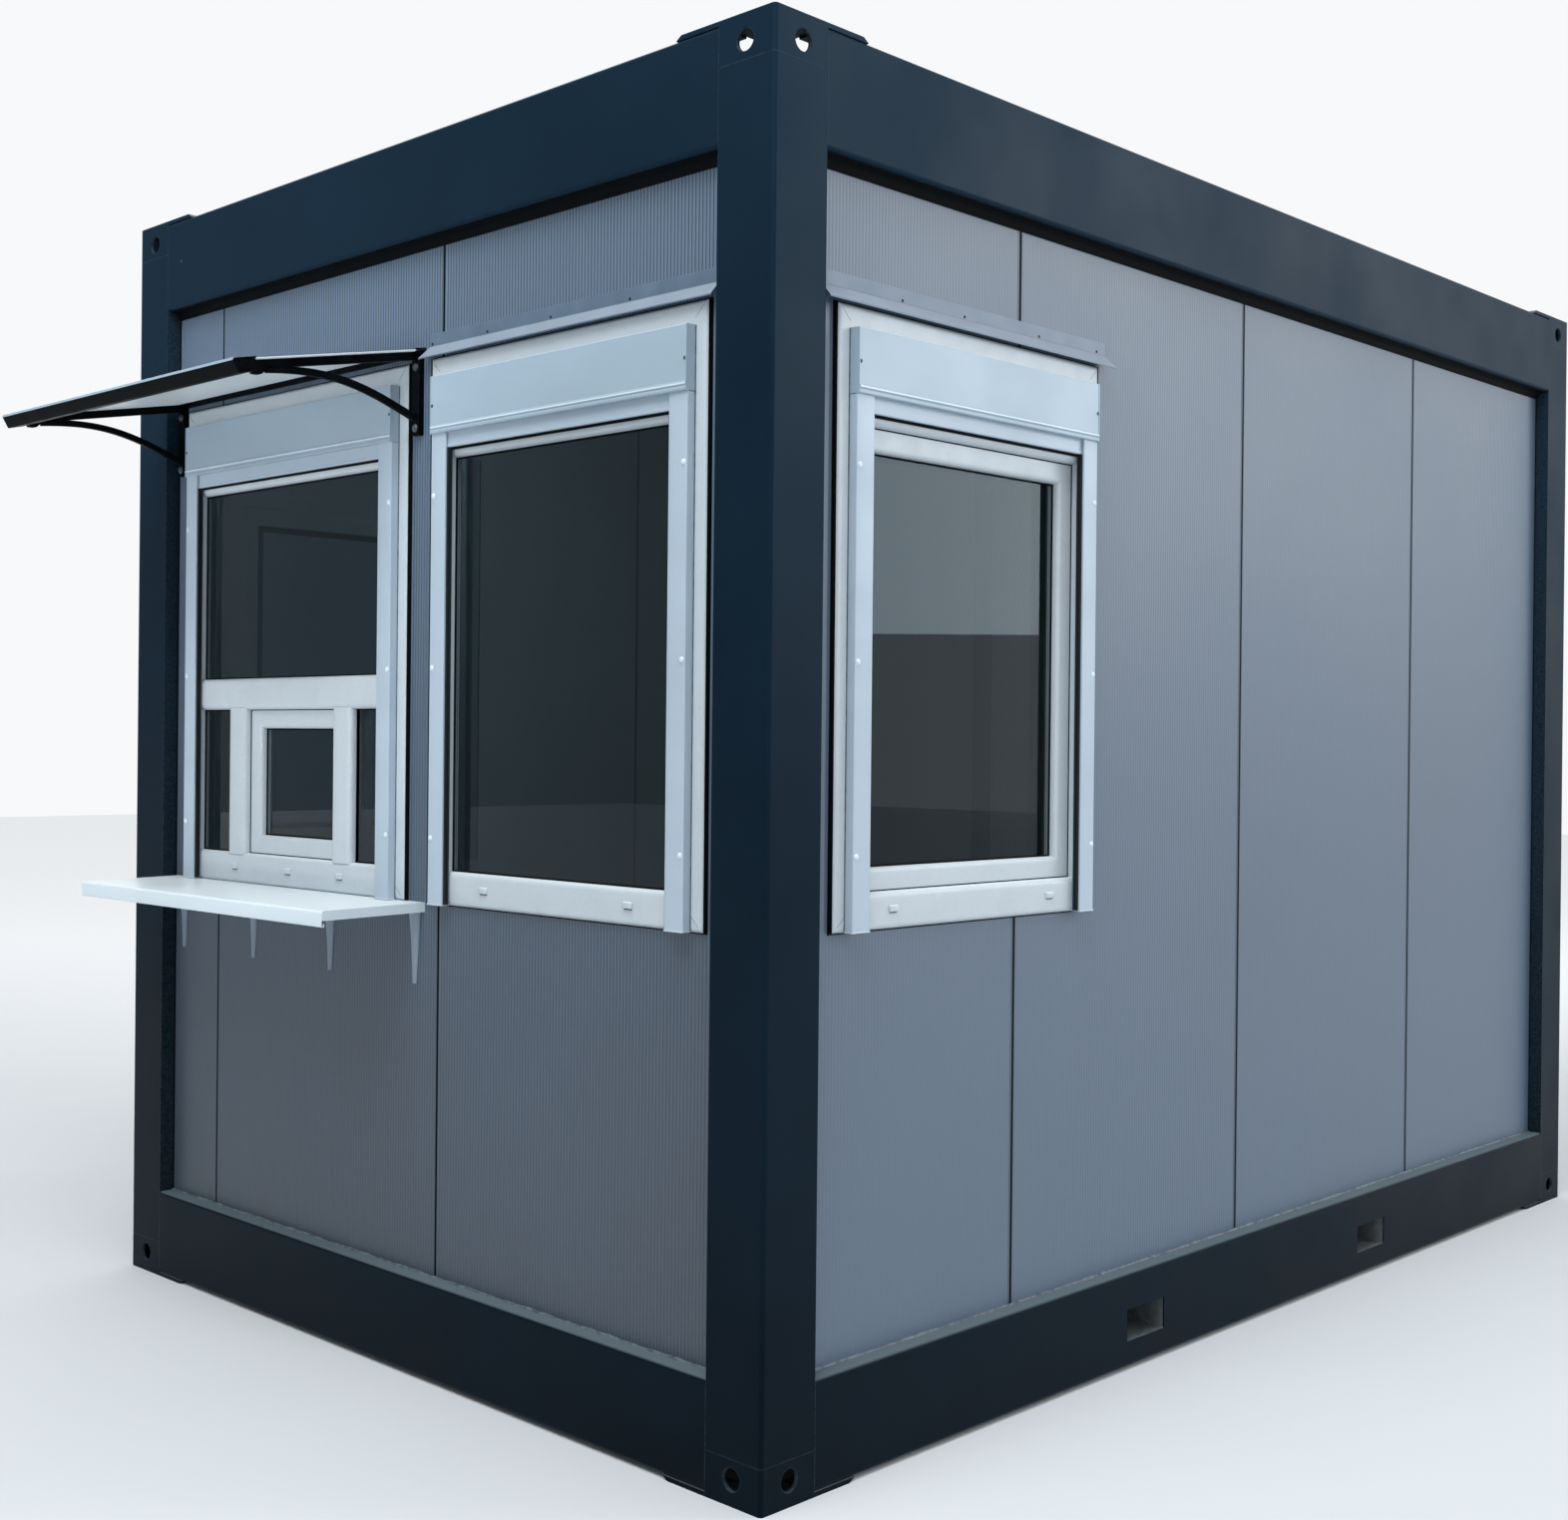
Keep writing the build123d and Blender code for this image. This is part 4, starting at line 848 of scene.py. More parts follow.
def sealant_bead(run, level, out, size):
    """Bead tooled into an inner corner along a wall: a quarter round of radius size (1 + 0.22 sin(s / 37)
    + 0.18 sin(s / 11 + 1) + 0.12 sin(s / 4.3)), where s is the distance along in millimetres."""
    along = np.linspace(run[0], run[1], int((run[1] - run[0]) / 9) + 2)
    uneven = 0.22 * np.sin(along / 37) + 0.18 * np.sin(along / 11 + 1) + 0.12 * np.sin(along / 4.3)
    radius = size * (1 + uneven)
    angle = np.linspace(0, math.pi / 2, 4)
    points = np.zeros((len(along), 5, 3))
    points[:, :, 0] = along[:, None]
    points[:, :4, 1] = level + radius[:, None] * np.cos(angle)
    points[:, :4, 2] = out + radius[:, None] * np.sin(angle)
    points[:, 4, 1] = level - 0.3
    points[:, 4, 2] = out - 0.3
    return capped(points)


def screw_head(wall, along, level, out, diameter, height):
    """Low domed head turned from six points: an upright rim, a shoulder at 0.82 of the radius, a crown from
    a half of it inwards, and a socket half as deep as the head is high."""
    r = diameter / 2
    profile = [(r, 0), (r, 0.3 * height), (0.82 * r, 0.75 * height), (0.5 * r, height),
               (0.42 * r, 0.98 * height), (0.36 * r, 0.5 * height)]
    return wall.place(turned([(a, b - 0.3) for a, b in profile], (along, level, out), 12))


def plug_dome(wall, along, level, out, diameter):
    """Domed plug: radius = r cos(a), height = 0.44 r sin(a) for a from 0 to just under a right angle, on a
    thin rim."""
    a = np.linspace(0, 1.45, 7)
    profile = np.stack((diameter / 2 * np.cos(a), 0.4 + 0.22 * diameter * np.sin(a)), -1)
    profile = np.concatenate((((diameter / 2 + 0.6, -0.3), (diameter / 2 + 0.6, 0.3)), profile))
    return wall.place(turned(profile, (along, level, out), 16))


# Profiles as corners (inset from the outside edge, out, how far the curve starts from the corner)
FRAME_PROFILE = [
    (0, FRAME_BACK, 1), (0, FRAME_OUT, 13), (PANE_LIP, FRAME_OUT, 18), (PANE_LIP, FRAME_OUT - 20, 1),
    (PANE_LIP - 14, FRAME_OUT - 20, 1), (PANE_LIP - 14, FRAME_BACK, 1),
]
BAR_PROFILE = [
    (-MULLION / 2, FRAME_OUT, 16), (MULLION / 2, FRAME_OUT, 16), (MULLION / 2, FRAME_OUT - 20, 1),
    (28, FRAME_OUT - 20, 1), (28, FRAME_BACK, 1), (-28, FRAME_BACK, 1), (-28, FRAME_OUT - 20, 1),
    (-MULLION / 2, FRAME_OUT - 20, 1),
]
# A sash runs a little way behind the frame's edge, and the rest of its width shows
SASH_HIDDEN = 13.5
SASH_SHOWN = 50.0
SASH_WIDTH = SASH_HIDDEN + SASH_SHOWN
SASH_FACE = FRAME_OUT - RECESS
SASH_PROFILE = [
    (0, FRAME_BACK, 1), (0, SASH_FACE, 2), (SASH_WIDTH, SASH_FACE, 14), (SASH_WIDTH, SASH_FACE - 20, 1),
    (SASH_WIDTH - 12, SASH_FACE - 20, 1), (SASH_WIDTH - 12, FRAME_BACK, 1),
]


def sights(name):
    """Clear openings of a window: (span along, rise, whether a sash opens there)."""
    low, high = WINDOWS[name]
    left, right = low[0] + PANE_LIP, high[0] - PANE_LIP
    bottom, top = low[1] + PANE_LIP, high[1] - HEADER
    if name == "front":
        return [((left, right), (bottom, top), False)]
    if name != "hatch":
        return [((left, right), (bottom, top), True)]
    middle = (left + right) / 2
    bars = [middle + side * (MULLION_OFFSET + edge * MULLION / 2) for side in (-1, 1) for edge in (-1, 1)]
    return [
        ((left, right), (TRANSOM_LOW + MULLION, top), False),
        ((left, bars[0]), (bottom, TRANSOM_LOW), False),
        ((bars[1], bars[2]), (bottom, TRANSOM_LOW), True),
        ((bars[3], right), (bottom, TRANSOM_LOW), False),
    ]


def drain_cap(wall, along, level):
    """Hood over a drain slot: a rectangle 30 by 15 with soft corners, set back by 2 (1 - cos a) all round as
    it rises to 6 sin(a), where a goes from 0 to a right angle."""
    rows = []
    for a in np.linspace(0, math.pi / 2, 5):
        half = np.array((15, 7.5)) - 2 * (1 - math.cos(a))
        outline = box_outline((along, level) - half, (along, level) + half, 2.5)
        rows.append(np.column_stack((outline, np.full(len(outline), FRAME_OUT - 0.3 + 6 * math.sin(a)))))
    return wall.place(capped(np.array(rows)))


def mitre_line(start, way, length):
    """Weld line across a frame's corner: a flat-backed strip 0.9 wide and 0.25 high. It dips where the
    frame's edge rounds off, by 13 (1 - (s + 2) / 13)^2 / 4 for s under 11 from its start, with s
    measured along either edge."""
    s = np.linspace(0, length, 9)
    dip = 13 / 4 * np.clip(1 - (s + 2) / 13, 0, 1) ** 2
    across = np.array((-0.45, 0.45, 0.45, -0.45))
    lift = np.array((0.25, 0.25, -0.3, -0.3))
    points = np.zeros((len(s), 4, 3))
    points[:, :, 0] = start[0] + way[0] * (s[:, None] + across * 0.7)
    points[:, :, 1] = start[1] + way[1] * (s[:, None] - across * 0.7)
    points[:, :, 2] = FRAME_OUT - dip[:, None] + lift
    return capped(points)


# Drain slots along the foot of each window
DRAINS = {"right": (419, 985), "left": (419, 985), "front": (432, 926), "hatch": (1511, 1748, 2007)}


class BOOTH_OT_windows(bpy.types.Operator):
    """Makes the window frames and sashes with their seals, dark lines of painted shade, spacer bars and
    drains, and dresses the panes
    """

    bl_idname = "booth.windows"
    bl_label = "Windows"

    def execute(self, context):
        plastic = extruded_plastic(colours().windows)
        rubber = rubber_seal()
        dress(float_glass(colours().glass), "window_panes")
        frame_profile = rounded(FRAME_PROFILE, 5)
        bar_profile = rounded(BAR_PROFILE, 5)
        sash_profile = rounded(SASH_PROFILE, 5)
        seal = millimetres("seal")
        seals_and_shade, caps, slots, tapes, mitres, spacers = [], [], [], [], [], []
        for name, wall in WINDOW_WALLS.items():
            low, high = WINDOWS[name]
            shapes = [wall.place(surround(frame_profile, low, high, HEADER - PANE_LIP))]
            if name == "hatch":
                left, right = low[0] + PANE_LIP - 4, high[0] - PANE_LIP + 4
                middle = (low[0] + high[0]) / 2
                flat = bar_profile + (TRANSOM_LOW + MULLION / 2, 0)
                shapes.append(wall.place(carried(flat, 0, (left, right))))
                for side in (-1, 1):
                    upright = bar_profile + (middle + side * MULLION_OFFSET, 0)
                    shapes.append(wall.place(carried(upright, 1, (low[1] + PANE_LIP - 4, TRANSOM_LOW + 4))))
            made = piece(f"frame_profile_{name}", shapes, plastic, 30)
            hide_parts(f"window_frame_{name}")
            tape = rounded([(0.2, PANEL_OUT - 1, 0), (0.2, FRAME_OUT - 10, 0), (-2.5, FRAME_OUT - 10.5, 1),
                            (-3.5, PANEL_OUT - 1, 0)], 2)
            tapes.append(wall.place(surround(tape, low, high)))
            for way, edge in ((1, low[0]), (-1, high[0])):
                tape = rounded([
                    (edge + way * 0.2, PANEL_OUT - 1, 0), (edge + way * 0.2, FRAME_OUT - 3, 0),
                    (edge - way * 2.5, FRAME_OUT - 3.5, 1), (edge - way * 3.5, PANEL_OUT - 1, 0),
                ], 2)
                tapes.append(wall.place(carried(tape, 1, (low[1] + 1, high[1] - 1))))
                for turn, end in ((1, low[1]), (-1, high[1])):
                    start = np.array((edge + way * 5, end + turn * 5))
                    mitres.append(wall.place(mitre_line(start, (way, turn), 31)))
            for span, rise, opens in sights(name):
                corner, far = np.array((span[0], rise[0])), np.array((span[1], rise[1]))
                if opens:
                    outside = (corner - SASH_HIDDEN, far + SASH_HIDDEN)
                    made = piece(f"sash_profile_{name}", [wall.place(surround(sash_profile, *outside))],
                                 plastic, 30)
                    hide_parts(f"sash_{name}")
                    line = rounded([(-0.5, SASH_FACE - 0.3, 0), (-0.5, SASH_FACE + 1.6, 0),
                                    (2.2, SASH_FACE + 1.2, 0.5), (2.6, SASH_FACE - 0.3, 0)], 2)
                    seals_and_shade.append(wall.place(surround(line, corner, far)))
                    corner, far = corner + SASH_SHOWN, far - SASH_SHOWN
                face = (SASH_FACE if opens else FRAME_OUT) - RECESS
                line = rounded([(-0.5, face - 0.2, 0), (-0.5, face + 3.4, 0), (seal * 0.6, face + 2.8, 1),
                                (seal, face + 0.4, 0.5), (seal, face - 0.2, 0)], 2)
                seals_and_shade.append(wall.place(surround(line, corner, far)))
                # Beside the seal the two spacer bars show one behind the other, each with a dark line of
                # painted shade
                for start, stop, kind in ((seal, 10, spacers), (10, 11.5, seals_and_shade), (11.5, 16, spacers),
                                          (16, 17.5, seals_and_shade)):
                    for way, side in ((1, corner[0]), (-1, far[0])):
                        ends = sorted((side + way * start, side + way * stop))
                        band = box_outline((ends[0], face - 0.2), (ends[1], face + 0.25), 0.1, 1)
                        kind.append(wall.place(carried(band, 1, (corner[1] + 0.5, far[1] - 0.5))))
            for along in DRAINS[name]:
                level = low[1] + 43
                caps.append(drain_cap(wall, along, level))
                # A black slit under each cap: painted shade in the drain's mouth
                mouth = box_outline((along - 12, level - 9.5), (along + 12, level - 7), 1)
                slots.append(wall.place(carried(mouth, 2, (FRAME_OUT - 0.4, FRAME_OUT + 0.4))))
        piece("glazing_seals_and_shade", seals_and_shade, rubber, 40)
        piece("sealing_tapes", tapes, rubber, 40)
        piece("mitre_welds", mitres, sealant(), 60)
        piece("pane_spacers", spacers, spacer_bar(), 30)
        piece("drain_caps", caps, plastic, 50)
        piece("drain_mouths", slots, rubber, 30)
        return {"FINISHED"}


def rail_outline(near, far, out_low, out_high, way):
    """Section of a shutter rail in plan, with its slot on the window's side."""
    slot, half, floor = (out_low + out_high) / 2, 5.5, 17
    corners = [(0, out_low, 0.5), (0, out_high, 2.5), (GUIDE, out_high, 1.5), (GUIDE, slot + half, 0.5),
               (floor, slot + half, 0.5), (floor, slot - half, 0.5), (GUIDE, slot - half, 0.5),
               (GUIDE, out_low, 0.5)]
    edge = near if way > 0 else far
    return rounded([(edge + way * along, out, soft) for along, out, soft in corners], 3)


class BOOTH_OT_shutters(bpy.types.Operator):
    """Makes the shutters' boxes, end slats and rails, with their seals, which also paint the shade under the
    slats, plugs, brushes, caps and screws
    """

    bl_idname = "booth.shutters"
    bl_label = "Roller shutters"

    def execute(self, context):
        coat = coated_aluminium(colours().shutters)
        plastic = extruded_plastic(colours().windows)
        # The rails and end slats take a paler copy of the boxes' coat: painted light
        rail_coat = coated_aluminium(colours().rails, "coated_rails")
        guides, plugs, brushes, caps, screws, slats, beads, seals_and_shade, lines = [[] for _ in range(9)]
        for name, wall in WINDOW_WALLS.items():
            low, high = WINDOWS[name]
            box_low, box_high = wall.extent(f"shutter_box_{name}")
            near, far = box_low[0], box_high[0]
            foot = low[1] + 2
            boxes = [wall.place(carried(self.box_section(box_low, box_high), 0, (near + 1.6, far - 1.6)))]
            plate = box_outline((box_low[1] - 1.5, FRAME_OUT), (box_high[1] - 0.6, box_high[2] - 1.2), 2)
            for edge in (near, far - 2):
                boxes.append(wall.place(carried(plate, 0, (edge, edge + 2))))
            made = piece(f"box_cover_{name}", boxes, coat, 35)
            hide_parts(f"shutter_box_{name}")
            slat = self.slat_section(box_low[1])
            slats.append(wall.place(carried(slat, 0, (near + GUIDE - 18, far - GUIDE + 18))))
            # A black rubber lip under each end slat, wide enough to paint the shade in the gap below it
            seal_and_shade = box_outline((box_low[1] - 40, FRAME_OUT - 0.5), (box_low[1] - 28, FRAME_OUT + 7), 2)
            seals_and_shade.append(wall.place(carried(seal_and_shade, 0, (near + GUIDE - 1, far - GUIDE + 1))))
            foot_of_box, face = box_low[1], box_high[2]
            # A strip in the paler shelf coat on the top of the box's bead: a painted highlight
            bead = rounded([
                (foot_of_box + 16.8, face - 1.6, 0.5), (foot_of_box + 15.6, face, 0.6),
                (foot_of_box + 12.4, face, 0.6), (foot_of_box + 12, face - 1.6, 0.5),
            ], 2)
            beads.append(wall.place(carried(bead, 0, (near + 1.6, far - 1.6))))
            for way, edge in ((1, near), (-1, far)):
                section = rail_outline(near, far, FRAME_OUT, GUIDE_OUT, way)
                guides.append(wall.place(carried(section, 1, (foot, box_low[1]))))
                plan = sorted((edge - way * 1.2, edge + way * (GUIDE + 1.0)))
                lip = box_outline((plan[0], FRAME_OUT - 0.3), (plan[1], GUIDE_OUT + 1.4), 2)
                caps.append(wall.place(carried(lip, 1, (foot - 1.6, foot + 1.4))))
                line = sorted((edge - way * 2.4, edge + way * 0.3))
                line = box_outline((line[0], FRAME_OUT - 0.3), (line[1], FRAME_OUT + 1.4), 0.8)
                lines.append(wall.place(carried(line, 1, (foot + 1, box_high[1] - 1))))
                middle = (FRAME_OUT + GUIDE_OUT) / 2
                for side in (-1, 1):
                    pile = sorted((edge + way * (GUIDE - 5), edge + way * (GUIDE + 5)))
                    depth = sorted((middle + side * 6.5, middle + side * 1.0))
                    brush = box_outline((pile[0], depth[0]), (pile[1], depth[1]), 0.8)
                    brushes.append(wall.place(carried(brush, 1, (foot + 1, box_low[1] - 36))))
                for level in PLUG_LEVELS:
                    plugs.append(plug_dome(wall, edge + way * 10, level, GUIDE_OUT, millimetres("plug")))
                screws.append(screw_head(wall, edge + way * 6, box_low[1] + 66, box_high[2] - 2.5, 8.5, 2))
        made = piece("shutter_rails", guides, rail_coat, 30)
        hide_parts("shutter_guides")
        made = piece("end_slats", slats, rail_coat, 35)
        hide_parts("shutter_end_slats")
        shelf_coat = coated_aluminium(colours().shelf, "coated_shelf_sheet")
        piece("box_bead_highlights", beads, shelf_coat, 40)
        piece("shutter_seals_and_shade", seals_and_shade, rubber_seal(), 40)
        piece("rail_sealant", lines, sealant(), 50)
        piece("rail_plugs", plugs, shelf_coat, 50)
        piece("rail_brushes", brushes, bristles(), 30)
        piece("rail_end_caps", caps, plastic, 30)
        piece("box_screws", screws, dull_fastener(), 50)
        return {"FINISHED"}

    @staticmethod
    def box_section(low, high):
        """Section of the cover in (level, out): a flat face that leans back 2.5 behind a bead, which is a
        fold with a groove along its middle."""
        face = high[2] - 2.5
        foot = low[1]
        return rounded([
            (high[1], FRAME_OUT, 0.5), (high[1], face, 3.5), (foot + 20, face, 0.5),
            (foot + 16, high[2] - 0.1, 1), (foot + 12, high[2] - 0.1, 1), (foot + 9.5, high[2] - 2.4, 0.6),
            (foot + 6, high[2] - 0.1, 1), (foot, high[2] - 0.4, 1.5), (foot, FRAME_OUT, 0.5),
        ], 3)

    @staticmethod
    def slat_section(top):
        """Section of the end slat in (level, out): a flat face with a foot that swells and a rubber lip."""
        out = (FRAME_OUT + GUIDE_OUT) / 2
        return rounded([
            (top + 2, out + 3.6, 0.5), (top - 27, out + 3.6, 1), (top - 29, out + 4.6, 1),
            (top - 35, out + 4.2, 1.5), (top - 35, out - 4.2, 1.5), (top - 29, out - 4.6, 1),
            (top - 27, out - 3.6, 1), (top + 2, out - 3.6, 0.5),
        ], 3)


# Drip flashings: how far each reaches past its window, and where its screws are along the wall
FLASHINGS = {
    "right": (47, (446, 661, 941, 1175)),
    "left": (47, (446, 661, 941, 1175)),
    "front": (26, (458, 720, 947, 1158)),
}
FLASHING_SCREW_LEVEL = 2466


class BOOTH_OT_flashings(bpy.types.Operator):
    """Makes the drip flashings above the windows, with their screws"""

    bl_idname = "booth.flashings"
    bl_label = "Drip flashings"

    def execute(self, context):
        shapes, screws = [], []
        lip, head = (corner.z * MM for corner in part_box("drip_flashings"))
        lip -= 4
        fold = head - 30
        section = rounded([
            (head, PANEL_OUT, 0.2), (head, PANEL_OUT + 1.5, 0.4), (fold, PANEL_OUT + 1.8, 1.5),
            (lip + 3, PANEL_OUT + 32.6, 1), (lip, PANEL_OUT + 32.6, 0.5), (lip, PANEL_OUT + 31.2, 0.3),
            (lip + 2, PANEL_OUT + 30.8, 0.5), (fold - 3, PANEL_OUT, 0.3),
        ], 3)
        for name, (overhang, screw_places) in FLASHINGS.items():
            wall = WINDOW_WALLS[name]
            low, high = WINDOWS[name]
            start, stop = low[0] - overhang, high[0] + overhang
            points = np.zeros((2, len(section), 3))
            points[:, :, 1] = section[:, 0]
            points[:, :, 2] = section[:, 1]
            # The falling lip is cut back by a fifth of its reach at both ends
            cut = 0.2 * (section[:, 1] - PANEL_OUT)
            points[0, :, 0] = start + 6.6 - cut
            points[1, :, 0] = stop - 6.6 + cut
            shapes.append(wall.place(capped(points)))
            for along in screw_places:
                screws.append(screw_head(wall, along, FLASHING_SCREW_LEVEL, PANEL_OUT + 1.5, 7, 1.6))
        # The drip's sloping lip is painted nearly white where it faces the sky: painted light with some dust
        made = piece("drip_sheets", shapes, chalked_and_skylit_steel(colours().panels), 30)
        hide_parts("drip_flashings")
        piece("flashing_screws", screws, enamelled_steel(colours().frame), 50)
        return {"FINISHED"}


# The shelf falls by 5 over its whole reach of 292
SHELF_FALL = 5.0
SHELF_REACH = 292.0


class BOOTH_OT_shelf(bpy.types.Operator):
    """Makes the folded shelf under the hatch and its pressed brackets"""

    bl_idname = "booth.shelf"
    bl_label = "Shelf"

    def execute(self, context):
        coat = coated_aluminium(colours().shelf, "coated_shelf_sheet")
        low, high = FRONT.extent("shelf")
        back, front = PANEL_OUT, high[2]
        top, foot = high[1], low[1]
        fall, sheet, cheek_depth = SHELF_FALL, millimetres("shelf_sheet"), 23
        hem = front - 9
        section = rounded([
            (back, top, 0.3), (front, top - fall, 7), (front, foot, 2.5), (hem, foot, 2),
            (hem, foot + 8, 0.3), (hem + sheet, foot + 8, 0.3), (hem + sheet, foot + sheet, 1),
            (front - sheet, foot + sheet, 1), (front - sheet, top - fall - sheet, 5),
            (back, top - sheet, 0.3),
        ], 5)
        outline = np.stack((section[:, 1], section[:, 0]), -1)
        shapes = [FRONT.place(carried(outline, 0, (low[0] + sheet, high[0] - sheet)))]
        cheek = rounded([
            (top, back, 0.3), (top - fall, front - 0.3, 7), (top - fall - cheek_depth, front - 0.3, 5),
            (top - cheek_depth, back, 0.3),
        ], 5)
        for along in (low[0], high[0] - sheet):
            shapes.append(FRONT.place(carried(cheek, 0, (along, along + sheet))))
        made = piece("shelf_sheet", shapes, coat, 35)
        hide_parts("shelf")
        bracket_coat = coated_aluminium(colours().brackets, "coated_brackets")
        brackets = self.brackets(low, high, top - sheet)
        made = piece("pressed_brackets", brackets, bracket_coat, 45)
        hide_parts("shelf_brackets")
        return {"FINISHED"}

    @staticmethod
    def brackets(low, high, seat):
        """Pressed angle brackets: a strip that runs up the wall, round a bend and out under the shelf. Half
        its width is 22.5 - 16 s^0.8, where s is the share of the way from the bend to a tip. It is pressed
        into a channel, as deep as (4 + 9 (1 - s)^2) (1 - (w / half)^4) at w from its middle, 2.2 thick."""
        count, margin, radius, drop, tip = 4, 37, 26, 196, 240
        angle = np.linspace(0, math.pi / 2, 9)[1:-1]
        bend = np.stack((seat - radius + radius * np.sin(angle),
                         PANEL_OUT + radius - radius * np.cos(angle)), -1)
        rise = np.linspace(seat - drop, seat - radius, 12)
        reach = np.linspace(radius, tip, 14)
        path = np.concatenate((
            np.stack((rise, np.full(len(rise), PANEL_OUT)), -1), bend,
            np.stack((seat - reach * SHELF_FALL / SHELF_REACH, PANEL_OUT + reach), -1),
        ))
        walked = np.concatenate(((0,), np.cumsum(np.linalg.norm(np.diff(path, axis=0), axis=1))))
        knee = walked[len(rise) + len(angle) // 2]
        share = np.where(walked < knee, (knee - walked) / knee, (walked - knee) / (walked[-1] - knee))
        half = 22.5 - 16 * share ** 0.8
        tangent = np.gradient(path, axis=0)
        tangent /= np.linalg.norm(tangent, axis=1, keepdims=True)
        normal = np.stack((-tangent[:, 1], tangent[:, 0]), -1)
        across = np.concatenate((np.linspace(-1, 1, 13), np.linspace(1, -1, 13)))
        press = 1 - across ** 4
        sheet = np.concatenate((np.full(13, 2.2), np.zeros(13)))
        deep = 4.0 + 9.0 * (1 - share[:, None]) ** 2
        offset = sheet[None, :] + deep * press[None, :]
        shapes = []
        for middle in np.linspace(low[0] + margin, high[0] - margin, count):
            points = np.zeros((len(path), len(across), 3))
            points[:, :, 0] = middle + half[:, None] * across[None, :]
            points[:, :, 1] = path[:, None, 0] + normal[:, None, 0] * offset
            points[:, :, 2] = path[:, None, 1] + normal[:, None, 1] * offset
            shapes.append(FRONT.place(capped(points)))
        return shapes


# Canopy: its fall for each step out, the thickness and half the width of its wall plates, the levels of
# their bolts, and the middle line of a strut as (level, out)
CANOPY_FALL = 86 / 449
PLATE = 16.0
PLATE_HALF = 15.0
BOLT_LEVELS = (2415.0, 2268.0)
STRUT_LINE = [(2293, -22), (2317, 42), (2342, 122), (2357, 200), (2360.5, 276), (2355, 350), (2351, 386)]


class BOOTH_OT_canopy(bpy.types.Operator):
    """Makes the canopy's brackets, rails, a pale strip along the front profile's top as a painted highlight,
    and bolts, and dresses its sheet
    """

    bl_idname = "booth.canopy"
    bl_label = "Canopy"

    def execute(self, context):
        coat = powder_coat(colours().canopy)
        dress(acrylic_sheet(colours().canopy_sheet), "canopy_sheet")
        low, high = FRONT.extent("canopy_brackets")
        level, nose = high[1], high[2]
        back = PANEL_OUT + PLATE
        shapes, bolts = [], []
        middles = (low[0] + PLATE_HALF, high[0] - PLATE_HALF)
        for middle in middles:
            plate = box_outline((middle - PLATE_HALF, low[1]), (middle + PLATE_HALF, level), 3)
            shapes.append(FRONT.place(carried(plate, 2, (PANEL_OUT, back - 1.5, back))))
            arm = rounded([
                (level, back - 0.5, 0.5), (level - 20, back - 0.5, 0.5),
                (level - 20 - CANOPY_FALL * (nose - 40 - back), nose - 40, 4), (level - 116, nose - 20, 4),
                (level - 116, nose, 3), (level - CANOPY_FALL * (nose - back), nose, 1),
            ], 3)
            shapes.append(FRONT.place(carried(arm, 0, (middle - 8, middle - 7, middle + 7, middle + 8))))
            strut = box_outline((-8, -8), (8, 8), 2.5)
            shapes.append(FRONT.place(followed(strut, smooth_line(STRUT_LINE), middle)))
            for height in BOLT_LEVELS:
                a = np.linspace(0, 1.4, 6)
                r = millimetres("bolt") / 2
                head = np.stack((r * np.cos(a), 1.2 + 0.55 * r * np.sin(a)), -1)
                head = np.concatenate((((r + 1.5, -0.5), (r + 1.5, 1.0)), head))
                bolts.append(FRONT.place(turned(head, (middle, height, back), 18)))
        made = piece("canopy_arms", shapes, coat, 35)
        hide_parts("canopy_brackets")
        piece("canopy_bolts", bolts, dull_fastener(), 40)
        rails, edges = self.rails(level, middles)
        made = piece("canopy_profiles", rails, coat, 35)
        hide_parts("canopy_rails")
        piece("canopy_edge_highlight", edges, coated_aluminium(colours().shutters), 35)
        return {"FINISHED"}

    @staticmethod
    def rails(level, middles):
        """Front and wall profile of the canopy, and a pale strip along the front profile's top: a painted
        highlight.
        """
        low, high = FRONT.extent("canopy_rails")
        front, rear = high[2] - 0.1, high[2] - 60

        def seat(out):
            """Level of the sheet's underside at a distance out."""
            return level - CANOPY_FALL * (out - PANEL_OUT - PLATE)

        nose = rounded([
            (seat(front) + 1.5, front - 0.2, 0.5), (seat(front) - 26, front - 16, 3),
            (seat(rear) - 26, rear, 2), (seat(rear) - 14, rear, 1), (seat(rear) - 12, rear + 5, 1),
            (seat(rear) + 6.8, rear, 1.5), (seat(front) + 6.8, front - 4, 1),
        ], 3)
        shapes = [FRONT.place(carried(nose, 0, (low[0], high[0])))]
        # A pale strip on the front profile's top edge: a painted highlight
        edge = rounded([
            (seat(front) + 7, front, 0.8), (seat(front) + 1, front, 0.8), (seat(front) + 1, front - 3, 0.3),
            (seat(front - 14) + 7, front - 14, 0.3),
        ], 2)
        edges = [FRONT.place(carried(edge, 0, (low[0] + 0.5, high[0] - 0.5)))]
        near = PANEL_OUT + 30
        gripped = rounded([
            (seat(PANEL_OUT) + 7, PANEL_OUT, 0.5), (seat(PANEL_OUT) - 12, PANEL_OUT, 0.5),
            (seat(PANEL_OUT) - 12, PANEL_OUT + 8, 2), (seat(near) - 3, near, 1.5),
            (seat(near) + 7, near, 1.5),
        ], 3)
        taken = [(middle - PLATE_HALF - 0.5, middle + PLATE_HALF + 0.5) for middle in middles]
        for run in gaps_between(low[0], high[0], taken):
            shapes.append(FRONT.place(carried(gripped, 0, run)))
        return shapes, edges


